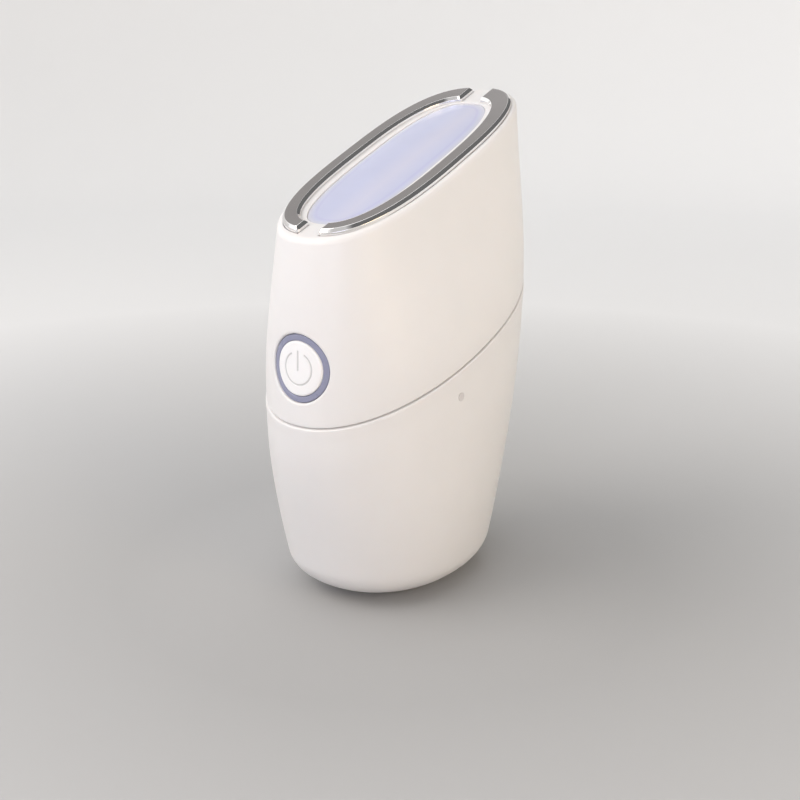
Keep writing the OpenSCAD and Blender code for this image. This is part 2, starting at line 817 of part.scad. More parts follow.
module switch_board() {
  color(BOARD_GREEN) difference() {
    block([-switch_board_half_width, switch_board_front, button_z - switch_board_half_height],
      [switch_board_half_width, switch_board_back, button_z + switch_board_half_height]);
    at_switch_bosses() rod_y(screw_gap_r, switch_board_front - 1, switch_board_back + 1);
  }
}

module tact_switch() {
  color("dimgray") translate([0, 0, button_z]) difference() {
    block([-switch_half, switch_front, -switch_half], [switch_half, switch_board_front, switch_half]);
    rod_y(plunger_r + fit_clearance, switch_front - 1, switch_front + plunger_depth);
  }
}

module switch_plunger() {
  color("ivory") translate([0, 0, button_z])
    rod_y(plunger_r, plunger_front, switch_front + plunger_depth - button_travel - plunger_gap);
}

module ring_leds() {
  color("lightyellow") translate([0, switch_board_front, button_z])
    for (a = [45 : 90 : 315]) rotate([0, a, 0]) translate([ring_r + ring_led_out, 0, 0])
      block([-ring_led_half, -ring_led_half, -ring_led_half], [ring_led_half, 0, ring_led_half]);
}

module switch_board_screws() {
  color(STEEL) at_switch_bosses() translate([0, switch_board_back, 0]) rotate([90, 0, 0])
    screw(board_thickness + switch_screw_bite);
}

module at_standoffs() {
  for (x = [-standoff_x, standoff_x], z = standoff_z) translate([x, 0, z]) children();
}

// Plate between board and cell, with a shelf and lips for the cell, two legs, two ears and the motor's cradle
module chassis() {
  tray_half = cell_width / 2 + loose_clearance;
  tray_back = cell_back - tray_open;
  lip_high = cell_low + tray_lip;
  color(NYLON) difference() {
    union() {
      block([-plate_half_width, plate_front, shelf_low], [plate_half_width, plate_back, ear_high]);
      block([-ear_x, plate_front, ear_low], [ear_x, plate_back, ear_high]);
      block([-tray_half - tray_wall, plate_front, shelf_low],
        [tray_half + tray_wall, tray_back, shelf_low + tray_wall]);
      both_sides() block([tray_half, plate_back, shelf_low], [tray_half + tray_wall, tray_back, lip_high]);
      at_ears() post(ear_r, ear_low, ear_high);
      at_legs() post(leg_r, leg_low, shelf_low + tray_wall);
      at_standoffs() rod_y(standoff_r, main_board_back, plate_front + 0.5);
      translate([0, motor_y, motor_z]) {
        block([motor_x - 0.2, cradle_front, cradle_low - motor_z],
          [motor_x + motor_length + 0.2, cradle_back, 0]);
        block([clip_middle - nub_half[0], cradle_front - nub_depth, nub_z - nub_half[1]],
          [clip_middle + nub_half[0], cradle_back + nub_depth, nub_z + nub_half[1]]);
      }
    }
    translate([0, motor_y, motor_z]) rod_x(motor_r + motor_gap, motor_x - 5, motor_x + motor_length + 5);
    at_ears() post(driver_r, leg_low, ear_low);
    at_ears() post(screw_gap_r, ear_low - 1, ear_high + 1);
    at_legs() post(pilot_r, leg_low - 1, leg_low + screw_bite);
    at_standoffs() rod_y(pilot_r, main_board_back - 1, plate_front + 1);
  }
}
module chassis_screws() {
  color(STEEL) at_ears() translate([0, 0, ear_low]) screw(ear_high - ear_low + screw_bite);
}

module main_board() {
  color(BOARD_GREEN) difference() {
    block([-main_board_half_width, main_board_front, main_board_low],
      [main_board_half_width, main_board_back, main_board_high]);
    at_standoffs() rod_y(screw_gap_r, main_board_front - 1, main_board_back + 1);
  }
}

// Two chips, an inductor, two sockets and a row of small parts on the main board
module board_components() {
  color("dimgray") for (p = concat(board_parts, small_parts)) {
    x = p[0];
    z = main_board_low + p[1];
    block([x - p[2] / 2, main_board_front - p[4], z - p[3] / 2],
      [x + p[2] / 2, main_board_front, z + p[3] / 2]);
  }
}

module main_board_screws() {
  color(STEEL) at_standoffs() translate([0, main_board_front, 0]) rotate([-90, 0, 0])
    screw(board_thickness + standoff_screw_bite);
}

module indicator_led() {
  half = indicator_led_half;
  color("lightyellow") block([main_board_half_width - 2 * half, main_board_back, pipe_z - half],
    [main_board_half_width, main_board_back + indicator_led_height, pipe_z + half]);
}

// Clear rod from the indicator's LED to the outside, with a collar inside the wall
module indicator_light_pipe() {
  collar_end = pipe_end - wall - pipe_gap;
  color(RING_GREY) translate([0, pipe_y, pipe_z]) {
    rod_x(pipe_r, main_board_half_width + pipe_gap, pipe_end);
    rod_x(pipe_r + pipe_collar, collar_end - pipe_collar_length, collar_end);
  }
}

module battery() {
  color(CELL_BLUE) hull() for (x = [-1, 1], y = [cell_front + cell_corner, cell_back - cell_corner])
    translate([x * (cell_width / 2 - cell_corner), y, cell_low]) cylinder(r = cell_corner, h = cell_length);
}

// Motor can with a collar round the shaft's bearing
module vibration_motor() {
  end = motor_x + motor_length;
  color(STEEL) translate([0, motor_y, motor_z]) difference() {
    union() {
      rod_x(motor_r, motor_x, end);
      rod_x(bearing_r, end, end + bearing_length);
    }
    rod_x(motor_shaft_r + fit_clearance, end - shaft_depth - 0.5, end + bearing_length + 1);
  }
}

module motor_shaft() {
  end = motor_x + motor_length;
  color("silver") translate([0, motor_y, motor_z]) rod_x(motor_shaft_r, end - shaft_depth, end + shaft_reach);
}

// Half disc that hangs below the shaft, with a hub round it
module eccentric_weight() {
  start = motor_x + motor_length + weight_gap;
  end = start + weight_length;
  color("gray") translate([0, motor_y, motor_z]) difference() {
    union() {
      intersection() {
        rod_x(weight_r, start, end);
        block([start, -weight_r, -weight_r], [end, weight_r, 0]);
      }
      rod_x(bearing_r, start, end);
    }
    rod_x(motor_shaft_r, start - 1, end + 1);
  }
}

// Arch over the motor, with two legs whose windows snap over the cradle's nubs
module motor_clip() {
  start = motor_x + clip_inset;
  end = motor_x + motor_length - clip_inset;
  front = cradle_front - motor_gap;
  back = cradle_back + motor_gap;
  leg_end = nub_z - nub_half[1] - 1;
  color(NYLON) translate([0, motor_y, motor_z]) difference() {
    union() {
      intersection() {
        rod_x(motor_r + cradle_wall, start, end);
        block([start, front, fit_clearance], [end, back, motor_r + cradle_wall]);
      }
      block([start, front - clip_wall, fit_clearance], [end, back + clip_wall, clip_wall]);
      block([start, front - clip_wall, leg_end], [end, front, clip_wall]);
      block([start, back, leg_end], [end, back + clip_wall, clip_wall]);
    }
    rod_x(motor_r + motor_gap, start - 1, end + 1);
    block([clip_middle - nub_half[0] - motor_gap, front - clip_wall - 1, nub_z - nub_half[1] - motor_gap],
      [clip_middle + nub_half[0] + motor_gap, back + clip_wall + 1, nub_z + nub_half[1] + motor_gap]);
  }
}

// Stadium outline of the charge port, grown by a clearance, from front to back
module port_profile(grow, front, back) {
  r = port_half_height + grow;
  half = port_half_width + grow - r;
  for (x = [-half, half]) translate([x, 0, 0]) rod_y(r, front, back);
  block([-half, front, -r], [half, back, r]);
}

// Folded steel shell with a closed back
module charge_port() {
  front = port_mouth - port_length;
  color(STEEL) translate([0, 0, port_height]) difference() {
    port_profile(0, front, port_mouth);
    port_profile(-port_wall, front + port_floor, port_mouth + 1);
  }
}

module port_tongue() {
  color("black") translate([0, 0, port_height])
    block([-tongue_half[0], port_mouth - port_length + port_floor, -tongue_half[1]],
      [tongue_half[0], port_mouth - tongue_inset, tongue_half[1]]);
}

module charge_board() {
  half = charge_board_half_width;
  color(BOARD_GREEN) difference() {
    block([-half, charge_board_front, charge_board_low], [half, charge_board_back, charge_board_high]);
    at_charge_posts() post(screw_gap_r, charge_board_low - 1, charge_board_high + 1);
  }
}

module charge_board_screws() {
  color(STEEL) at_charge_posts() translate([0, 0, charge_board_high]) mirror([0, 0, 1])
    screw(charge_board_high - charge_board_low + charge_screw_bite);
}

// Oval of the pad's recess, drawn in by a clearance, from a low level to the recess's top
module base_oval(clearance, low) {
  half_x = base_half_width - pad_inset - clearance;
  half_y = base_half_depth - pad_inset - clearance;
  oval_plate(half_x, half_y, body_squareness, low, pad_top);
}
module base_pad() {
  color("gainsboro") translate([0, base_back, 0]) base_oval(pad_clearance, 0);
}

module base_screws() {
  color(STEEL) at_legs() translate([0, 0, base_screw_seat])
    screw(leg_boss_top - base_screw_seat + screw_bite - 0.5);
}

lower_housing();
upper_housing();
light_window();
electrode_right();
electrode_left();
electrode_nuts();
contact_tabs();
reflector();
led_board();
led_chips();
led_board_screws();
power_button();
button_light_ring();
switch_board();
tact_switch();
switch_plunger();
ring_leds();
switch_board_screws();
chassis();
chassis_screws();
main_board();
board_components();
main_board_screws();
indicator_led();
indicator_light_pipe();
battery();
vibration_motor();
motor_shaft();
eccentric_weight();
motor_clip();
charge_board();
charge_port();
port_tongue();
charge_board_screws();
base_pad();
base_screws();
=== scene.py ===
import math

import bmesh
import bpy
import numpy as np
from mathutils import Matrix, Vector


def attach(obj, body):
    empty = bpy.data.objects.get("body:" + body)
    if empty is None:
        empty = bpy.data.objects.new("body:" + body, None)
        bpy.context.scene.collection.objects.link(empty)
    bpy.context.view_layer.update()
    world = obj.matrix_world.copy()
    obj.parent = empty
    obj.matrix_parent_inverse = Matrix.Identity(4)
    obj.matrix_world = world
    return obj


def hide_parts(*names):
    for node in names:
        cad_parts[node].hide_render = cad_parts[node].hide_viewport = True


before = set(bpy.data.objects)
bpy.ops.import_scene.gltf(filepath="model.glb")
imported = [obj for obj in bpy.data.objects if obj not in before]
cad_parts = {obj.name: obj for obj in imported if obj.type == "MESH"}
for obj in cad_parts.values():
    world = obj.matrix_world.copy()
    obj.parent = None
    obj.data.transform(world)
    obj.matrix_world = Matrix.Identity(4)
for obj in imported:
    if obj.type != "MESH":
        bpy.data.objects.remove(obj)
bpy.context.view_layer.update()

MM = 0.001
DEGREE = math.pi / 180

# Camera at the photograph's viewing angle, in an image of 800 by 800 pixels
PHOTO_SIZE = 800
SENSOR = 36
CAMERA_AZIMUTH = 35.95
CAMERA_ELEVATION = 14.25
CAMERA_DISTANCE = 262.7
CAMERA_TARGET = (0, 0, 52.5)
TARGET_PIXEL = (390.3, 340.8)
PIXELS_PER_MM = 4.601


def direction(azimuth, elevation):
    """Unit vector from the object, azimuth 0 towards the button side and 90 towards +X."""
    a, e = azimuth * DEGREE, elevation * DEGREE
    return Vector((math.sin(a) * math.cos(e), -math.cos(a) * math.cos(e), math.sin(e)))


def make_camera():
    data = bpy.data.cameras.new("camera")
    data.sensor_width = SENSOR
    data.lens = PIXELS_PER_MM * CAMERA_DISTANCE * SENSOR / PHOTO_SIZE
    data.shift_x = 0.5 - TARGET_PIXEL[0] / PHOTO_SIZE
    data.shift_y = TARGET_PIXEL[1] / PHOTO_SIZE - 0.5
    data.clip_start = 0.01
    camera = bpy.data.objects.new("camera", data)
    bpy.context.scene.collection.objects.link(camera)
    back = direction(CAMERA_AZIMUTH, CAMERA_ELEVATION)
    camera.location = (Vector(CAMERA_TARGET) + back * CAMERA_DISTANCE) * MM
    camera.rotation_euler = (-back).to_track_quat("-Z", "Y").to_euler()
    bpy.context.scene.camera = camera


make_camera()

# Driving sizes of the form, as in the CAD source. Only the seam's lip and the electrodes' tops are a little
# lower than there, so that they stay inside its box, and the lens is a little squarer.
FACE_HEIGHT = 91.8
FACE_SLANT = 21.3 * DEGREE
FACE_HALF_LENGTH = 36.2
FACE_HALF_WIDTH = 16.45
FACE_BACK = 4.6
FACE_SQUARENESS = 2.55
FACE_FILLET = 1.2
SEAM_HEIGHT = 54.3
SEAM_SLANT = 20.3 * DEGREE
SEAM_HALF_DEPTH = 34.9
SEAM_HALF_WIDTH = 22.4
SEAM_BACK = 3.4
BODY_SQUARENESS = 2.15
SEAM_GAP = 0.3
LIP_PROUD = 0.178
LIP_START, LIP_END = 1.91, 1.984
SEAM_BEAD = 0.28
TONGUE_LENGTH = 2.2
TONGUE_CLEARANCE = 0.1
FOOT_HEIGHT = 7.25
FOOT_HALF_DEPTH = 25.4
FOOT_HALF_WIDTH = 20
FOOT_BACK = 0.2
BASE_HALF_DEPTH = 12
BASE_HALF_WIDTH = 9.8
BASE_BACK = 1.2
CORNER_SWEEP = 80 * DEGREE
WALL = 2.2
FLOOR_THICKNESS = 2.4
PAD_PROUD = 0.25
PAD_TOP = 1.05
PAD_INSET = 1.4
DECK = 2.2
FOOT_SLOPES = (0.15, 0.22)
SEAM_SLOPES = (-0.03, 0)
FACE_SLOPES = (-0.16, -0.05)
FACE_BACK_SLOPE = 0.04

WINDOW_HALF_LENGTH = 28.8
WINDOW_HALF_WIDTH = 9.35
WINDOW_SQUARENESS = 2.45
LENS_SQUARENESS = 2.8
WINDOW_SHIFT = 0.9
WINDOW_FLANGE = 1.2
WINDOW_FLANGE_THICKNESS = 1.2
WINDOW_CROWN = 0.7
WINDOW_RECESS = 0.2
WINDOW_CLEARANCE = 0.1

ELECTRODE_OUTER = (14.9, 34.3)
ELECTRODE_INNER = (11.35, 29.9)
ELECTRODE_INNER_SHIFT = WINDOW_SHIFT + 0.2
ELECTRODE_SQUARENESS = 2.75
ELECTRODE_GAP = 4.6
ELECTRODE_HEIGHT = 1.24
ELECTRODE_SEAT = 0.6
ELECTRODE_CHAMFER = 0.65
ELECTRODE_LIP = 0.3
SEAT_GAP = 0.12
SEAT_END_MARGIN = 0.08
ELECTRODE_END_MARGIN = 0.15

BUTTON_ABOVE_SEAM = 11.8
CAP_R = 5.6
CAP_THICKNESS = 1.6
CAP_SKIRT = 1.2
CAP_LIP = 0.9
STEM_R = 2
STEM_LENGTH = 5.2
SWITCH_HEIGHT = 3.5
PLUNGER_REACH = 0.8
FIT = 0.05
RING_R = 6.9
CAP_CLEARANCE = 0.15
RING_RECESS = 0.35
CAP_RECESS = 0.15

# Points round a row, and sizes worked out from those above
COLUMNS = 256
PHI = np.arange(COLUMNS) * 2 * np.pi / COLUMNS
FACE_RISE = math.tan(FACE_SLANT)
SEAM_RISE = math.tan(SEAM_SLANT)
FILLET_DROP = FACE_FILLET / math.cos(FACE_SLANT)
FOOT_Z = PAD_PROUD + FOOT_HEIGHT
HANDLE_SPAN = SEAM_HEIGHT - FOOT_Z
HEAD_SPAN = FACE_HEIGHT - FILLET_DROP - SEAM_HEIGHT
FACE_HALF_DEPTH = FACE_HALF_LENGTH * math.cos(FACE_SLANT)
BUTTON_HEIGHT = SEAM_HEIGHT - SEAM_RISE * SEAM_HALF_DEPTH + BUTTON_ABOVE_SEAM


def mix(a, b, u):
    return a + (b - a) * u


def hermite(a, b, slope_a, slope_b, span, u):
    """Smooth curve from a to b with the given slopes at its ends."""
    return ((2 * u**3 - 3 * u**2 + 1) * a + (u**3 - 2 * u**2 + u) * slope_a * span
            + (3 * u**2 - 2 * u**3) * b + (u**3 - u**2) * slope_b * span)


def table(u, *values):
    return np.stack([np.broadcast_to(v, u.shape) for v in values], -1)


def corner_section(u):
    g = np.sin(u * CORNER_SWEEP) / math.sin(CORNER_SWEEP)
    rise = (1 - np.cos(u * CORNER_SWEEP)) / (1 - math.cos(CORNER_SWEEP))
    return table(u, mix(BASE_HALF_DEPTH, FOOT_HALF_DEPTH, g), mix(BASE_HALF_WIDTH, FOOT_HALF_WIDTH, g),
                 mix(BASE_BACK, FOOT_BACK, g), PAD_PROUD + FOOT_HEIGHT * rise, 0.0, BODY_SQUARENESS)


def handle_section(u):
    depth = hermite(FOOT_HALF_DEPTH, SEAM_HALF_DEPTH, FOOT_SLOPES[0], SEAM_SLOPES[0], HANDLE_SPAN, u)
    width = hermite(FOOT_HALF_WIDTH, SEAM_HALF_WIDTH, FOOT_SLOPES[1], SEAM_SLOPES[1], HANDLE_SPAN, u)
    back = hermite(FOOT_BACK, SEAM_BACK, 0, 0, HANDLE_SPAN, u)
    return table(u, depth, width, back, FOOT_Z + HANDLE_SPAN * u, SEAM_RISE * u, BODY_SQUARENESS)


def head_section(u):
    depth = hermite(SEAM_HALF_DEPTH, FACE_HALF_DEPTH, SEAM_SLOPES[0], FACE_SLOPES[0], HEAD_SPAN, u)
    width = hermite(SEAM_HALF_WIDTH, FACE_HALF_WIDTH, SEAM_SLOPES[1], FACE_SLOPES[1], HEAD_SPAN, u)
    back = hermite(SEAM_BACK, FACE_BACK, 0, FACE_BACK_SLOPE, HEAD_SPAN, u)
    return table(u, depth, width, back, SEAM_HEIGHT + HEAD_SPAN * u, mix(SEAM_RISE, FACE_RISE, u),
                 mix(BODY_SQUARENESS, FACE_SQUARENESS, u))


def section(t):
    """Half depth, half width, back, height, slope and squareness of the body.
    t runs from 0 at the flat bottom over 1 at the foot corner and 2 at the seam to 3 at the rim."""
    t = np.asarray(t, float)
    corner = corner_section(np.clip(t, 0, 1))
    handle = handle_section(np.clip(t - 1, 0, 1))
    head = head_section(np.clip(t - 2, 0, 1))
    return np.where((t <= 1)[..., None], corner, np.where((t <= 2)[..., None], handle, head))


def around(squareness, phi=PHI):
    """Across and forward parts of a superellipse of half sizes 1, at even polar angles."""
    s, c = np.sin(phi), np.cos(phi)
    r = (np.abs(s) ** squareness + np.abs(c) ** squareness) ** (-1 / squareness)
    return s * r, c * r


def ring(t, inset=0.0, drop=0.0):
    """One ring of points round the body, moved inwards and down."""
    depth, width, back, height, slope, squareness = section(t)
    across, forward = around(squareness)
    along = (depth - inset) * forward
    return np.stack([(width - inset) * across, back - along, height - slope * along - drop], -1)


def crossing(target, height_at):
    """The places t where height_at(t) reaches each target."""
    low, high = np.full(target.shape, 0.02), np.full(target.shape, 3.0)
    for _ in range(44):
        middle = (low + high) / 2
        below = height_at(middle) < target
        low, high = np.where(below, middle, low), np.where(below, high, middle)
    return (low + high) / 2


def reach(half, other_half, offset, squareness):
    share = np.minimum(1, np.abs(offset) / other_half)
    return half * (1 - share**squareness) ** (1 / squareness)


def front_point(x, z, inset=0.0, side=-1):
    """Points of the body surface at x and z, on its front, or with side 1 on its back."""
    def height_at(t):
        s = section(t)
        return s[..., 3] + side * s[..., 4] * reach(s[..., 0] - inset, s[..., 1] - inset, x, s[..., 5])
    s = section(crossing(z, height_at))
    y = s[..., 2] + side * reach(s[..., 0] - inset, s[..., 1] - inset, x, s[..., 5])
    return np.stack([x, y, z], -1)


def back_point(x, z, inset=0.0):
    return front_point(x, z, inset, side=1)


def side_point(y, z, inset=0.0):
    """Points of the body surface at y and z, on its +X side."""
    def height_at(t):
        s = section(t)
        return s[..., 3] + s[..., 4] * (y - s[..., 2])
    s = section(crossing(z, height_at))
    x = reach(s[..., 1] - inset, s[..., 0] - inset, y - s[..., 2], s[..., 5])
    return np.stack([x, y, z], -1)


def on_face(x, v, h=0.0):
    """Points in the frame of the face: across, up the slant, out of the face."""
    x, v, h = np.broadcast_arrays(x, v, h)
    cos, sin = math.cos(FACE_SLANT), math.sin(FACE_SLANT)
    return np.stack([x, FACE_BACK + v * cos - h * sin, FACE_HEIGHT + v * sin + h * cos], -1)


def rounded_edge(radius, steps=6):
    """Insets and drops of a rounded edge, from (radius, 0) on its top to (0, radius) on its wall."""
    turns = np.arange(steps + 1) / steps * math.pi / 2
    return list(zip(radius * (1 - np.sin(turns)), radius * (1 - np.cos(turns))))


class Net:
    """Points in millimetres, in rows, and the faces between them."""

    def __init__(self):
        self.rows = []
        self.count = 0
        self.faces = []

    def row(self, points):
        start = self.count
        self.rows.append(np.asarray(points, float).reshape(-1, 3))
        self.count += len(self.rows[-1])
        return np.arange(start, self.count)

    def band(self, a, b, keep=None):
        """Quads between two closed rows of the same length, left out where keep is False."""
        for i in range(len(a)):
            j = (i + 1) % len(a)
            if keep is None or keep[i]:
                self.faces.append([a[i], a[j], b[j], b[i]])

    def bands(self, rows):
        for a, b in zip(rows, rows[1:]):
            self.band(a, b)

    def lid(self, row):
        """A flat middle for a row, as a fan round its centre."""
        points = np.concatenate(self.rows)[row]
        centre = self.row(points.mean(0))[0]
        for i in range(len(row)):
            self.faces.append([row[i], row[(i + 1) % len(row)], centre])

    def object(self, name, material, sharp=35):
        mesh = bpy.data.meshes.new(name)
        mesh.from_pydata(np.concatenate(self.rows) * MM, [], self.faces)
        work = bmesh.new()
        work.from_mesh(mesh)
        loose = [v for v in work.verts if not v.link_faces]
        bmesh.ops.delete(work, geom=loose, context="VERTS")
        bmesh.ops.recalc_face_normals(work, faces=work.faces)
        open_edges = sum(1 for e in work.edges if len(e.link_faces) != 2)
        if open_edges:
            print("open edges in", name, open_edges)
        work.to_mesh(mesh)
        work.free()
        mesh.shade_smooth()
        mesh.set_sharp_from_angle(angle=sharp * DEGREE)
        mesh.materials.append(material)
        obj = bpy.data.objects.new(name, mesh)
        bpy.context.scene.collection.objects.link(obj)
        return obj

    def piece(self, name, material, body="housing", replaces=(), sharp=35):
        obj = self.object(name, material, sharp)
        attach(obj, body)
        if replaces:
            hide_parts(*replaces)
        return obj


def mark(obj, name, values):
    """Gives each point of a mesh a value that its material reads."""
    data = obj.data.attributes.new(name, "FLOAT", "POINT").data
    if len(data) != len(values):
        raise ValueError("points of " + obj.name)
    for point, value in zip(data, values):
        point.value = float(value)


class Hole:
    """A hole in a body wall: its centre on the plane it is seen in, its outline and the room round it.
    The room is the half width and half height of the block of cells that the hole takes up."""

    def __init__(self, centre, radius_at, point_at, room, fillet):
        self.centre = np.array(centre, float)
        self.radius_at = radius_at
        self.point_at = point_at
        self.room = room
        self.fillet = fillet

    def find_block(self, net, rows):
        """The columns and rows of the wall's points that lie within the room."""
        points = np.concatenate(net.rows)[np.array(rows)]
        first, second = flat_axes(self)
        inside = np.abs(points[..., first] - self.centre[0]) < self.room[0]
        inside &= np.abs(points[..., second] - self.centre[1]) < self.room[1]
        inside &= (points @ inward(self)) < 0
        row, column = np.nonzero(inside)
        if self.point_at is front_point:
            column = (column + COLUMNS // 2) % COLUMNS - COLUMNS // 2
        self.columns = (column.min(), column.max())
        self.rows = (row.min(), row.max())

    def outline(self, angles, grow):
        r = self.radius_at(angles) + grow
        return self.centre + np.stack([r * np.cos(angles), r * np.sin(angles)], -1)


def flat_axes(hole):
    """The two axes that a hole's plane uses: x and z on the front and back, y and z on the side."""
    return (1, 2) if hole.point_at is side_point else (0, 2)


def block_loop(hole, rows):
    """Indices round the block of cells that a hole takes out of the rows of a wall."""
    (c0, c1), (r0, r1) = hole.columns, hole.rows
    loop = [rows[r0][c % COLUMNS] for c in range(c0, c1)]
    loop += [rows[r][c1 % COLUMNS] for r in range(r0, r1)]
    loop += [rows[r1][c % COLUMNS] for c in range(c1, c0, -1)]
    loop += [rows[r][c0 % COLUMNS] for r in range(r1, r0, -1)]
    return np.array(loop)


def wall_grid(net, rows, holes):
    """Faces of a wall, except in the holes' blocks."""
    for r, (a, b) in enumerate(zip(rows, rows[1:])):
        keep = np.ones(COLUMNS, bool)
        for hole in holes:
            if hole.rows[0] <= r < hole.rows[1]:
                keep[np.arange(*hole.columns) % COLUMNS] = False
        net.band(a, b, keep=keep)


def hole_rings(net, hole, rows, inset=0.0, fillet=0.0, steps=7):
    """Rings from the block's edge to the hole's edge on the wall's surface.
    It gives the last ring and the angles of its points."""
    loop = block_loop(hole, rows)
    first, second = flat_axes(hole)
    points = np.concatenate(net.rows)[loop]
    flat = np.stack([points[:, first], points[:, second]], -1)
    away = flat - hole.centre
    angles = np.arctan2(away[:, 1], away[:, 0])
    target = hole.outline(angles, fillet)
    last = loop
    for k in range(1, steps + 1):
        share = math.sin(k / steps * math.pi / 2)
        place = mix(flat, target, share)
        new = net.row(hole.point_at(place[:, 0], place[:, 1], inset))
        net.band(last, new)
        last = new
    if not fillet:
        return last, angles
    for grow, drop in rounded_edge(fillet)[1:]:
        place = hole.outline(angles, grow)
        new = net.row(hole.point_at(place[:, 0], place[:, 1], inset) + inward(hole) * drop)
        net.band(last, new)
        last = new
    return last, angles


def inward(hole):
    """Direction of a hole's axis into the body."""
    if hole.point_at is side_point:
        return np.array([-1.0, 0, 0])
    return np.array([0, 1.0 if hole.point_at is front_point else -1.0, 0])


def round_hole(radius):
    return lambda angles: np.full(angles.shape, radius)


def stadium_hole(half_straight, radius):
    def radius_at(angles):
        c, s = np.abs(np.cos(angles)), np.abs(np.sin(angles))
        flat = radius / np.maximum(s, 1e-9)
        bent = half_straight * c + np.sqrt(np.maximum(0, radius**2 - (half_straight * s) ** 2))
        return np.where(flat * c <= half_straight, flat, bent)
    return radius_at


# Materials, all procedural
def new_material(name):
    material = bpy.data.materials.new(name)
    material.use_nodes = True
    nodes = material.node_tree.nodes
    shader = nodes["Principled BSDF"]
    place = nodes.new("ShaderNodeTexCoord").outputs["Object"]
    return material, material.node_tree, shader, place


def noise(tree, place, size_mm, detail=2.0, stretch=None):
    """Noise whose features are about size_mm wide."""
    node = tree.nodes.new("ShaderNodeTexNoise")
    node.inputs["Scale"].default_value = 1 / (size_mm * MM)
    node.inputs["Detail"].default_value = detail
    if stretch:
        mapping = tree.nodes.new("ShaderNodeMapping")
        mapping.inputs["Scale"].default_value = stretch
        tree.links.new(place, mapping.inputs["Vector"])
        place = mapping.outputs["Vector"]
    tree.links.new(place, node.inputs["Vector"])
    return node.outputs["Fac"]


def between(tree, fac, low, high, from_low=0.3, from_high=0.7):
    node = tree.nodes.new("ShaderNodeMapRange")
    node.inputs["From Min"].default_value = from_low
    node.inputs["From Max"].default_value = from_high
    node.inputs["To Min"].default_value = low
    node.inputs["To Max"].default_value = high
    tree.links.new(fac, node.inputs["Value"])
    return node.outputs["Result"]


def colour_between(tree, fac, low, high):
    node = tree.nodes.new("ShaderNodeMix")
    node.data_type = "RGBA"
    node.inputs["A"].default_value = (*low, 1)
    node.inputs["B"].default_value = (*high, 1)
    tree.links.new(fac, node.inputs["Factor"])
    return node.outputs["Result"]


def bumped(tree, shader, height, depth_mm):
    node = tree.nodes.new("ShaderNodeBump")
    node.inputs["Strength"].default_value = 1
    node.inputs["Distance"].default_value = depth_mm * MM
    tree.links.new(height, node.inputs["Height"])
    tree.links.new(node.outputs["Normal"], shader.inputs["Normal"])


def surface(name, colour, roughness, metallic=0.0, patch=8.0, shade=0.04, spread=0.04, grain=0.35,
            depth=0.004, stretch=None, **sockets):
    """A finish with slight patches of colour, a varying gloss and a fine grain."""
    material, tree, shader, place = new_material(name)
    patches = between(tree, noise(tree, place, patch), 0, 1)
    darker = tuple(c * (1 - shade) for c in colour)
    tree.links.new(colour_between(tree, patches, darker, colour), shader.inputs["Base Color"])
    gloss = noise(tree, place, patch / 3, detail=4)
    tree.links.new(between(tree, gloss, roughness - spread, roughness + spread), shader.inputs["Roughness"])
    bumped(tree, shader, noise(tree, place, grain, detail=3, stretch=stretch), depth)
    shader.inputs["Metallic"].default_value = metallic
    for socket, value in sockets.items():
        shader.inputs[socket.replace("_", " ")].default_value = value
    return material


def object_place(tree):
    """The object coordinates that a finish already uses."""
    return next(n for n in tree.nodes if n.type == "TEX_COORD").outputs["Object"]


def read(tree, name):
    """The value that mark gave to each point."""
    node = tree.nodes.new("ShaderNodeAttribute")
    node.attribute_name = name
    return node.outputs["Fac"]


def tinted(material, fac, tint):
    """Lays a tint over a finish's colour where fac is high."""
    tree = material.node_tree
    base = tree.nodes["Principled BSDF"].inputs["Base Color"]
    node = tree.nodes.new("ShaderNodeMix")
    node.data_type = "RGBA"
    tree.links.new(base.links[0].from_socket, node.inputs["A"])
    node.inputs["B"].default_value = (*tint, 1)
    tree.links.new(fac, node.inputs["Factor"])
    tree.links.new(node.outputs["Result"], base)


def hump(tree, value, centre, width, share):
    """Share of a tint at the centre, fading out at width on both sides."""
    node = tree.nodes.new("ShaderNodeMath")
    node.operation = "SUBTRACT"
    tree.links.new(value, node.inputs[0])
    node.inputs[1].default_value = centre
    away = tree.nodes.new("ShaderNodeMath")
    away.operation = "ABSOLUTE"
    tree.links.new(node.outputs["Value"], away.inputs[0])
    return between(tree, away.outputs["Value"], share, 0, 0, width)


WHITE = (0.86, 0.84, 0.83)
# Painted light: the cap's white is set lighter than the housing's so that its less lit lower part looks as
# bright
CAP_WHITE_PAINTED_LIGHTER = (0.96, 0.95, 0.95)
# Painted shade: grey laid into the engraved standby sign's groove
SIGN_PAINTED_SHADE_GREY = (0.66, 0.65, 0.65)
LENS = (0.61, 0.64, 0.83)
# Painted reflection: a rosy stripe along the crowned lens
LENS_PAINTED_REFLECTION = (0.69, 0.685, 0.80)
# Painted shade: a violet line over the reflector's rim under the lens
LENS_PAINTED_SHADE = (0.55, 0.55, 0.77)
# Painted highlight: the pale rounded rim of the lens
LENS_PAINTED_HIGHLIGHT = (0.7, 0.7, 0.77)

white_plastic = surface("white_plastic", WHITE, 0.36, shade=0.015, grain=0.25, depth=0.0015,
                        Subsurface_Weight=0.15, Subsurface_Radius=(1, 0.8, 0.7),
                        Subsurface_Scale=1.2 * MM, IOR=1.5)
cap_plastic = surface("cap_plastic", CAP_WHITE_PAINTED_LIGHTER, 0.33, shade=0.015, grain=0.25, depth=0.0015,
                      Subsurface_Weight=0.15, Subsurface_Radius=(1, 0.8, 0.7), Subsurface_Scale=1.2 * MM)
cap_tree = cap_plastic.node_tree
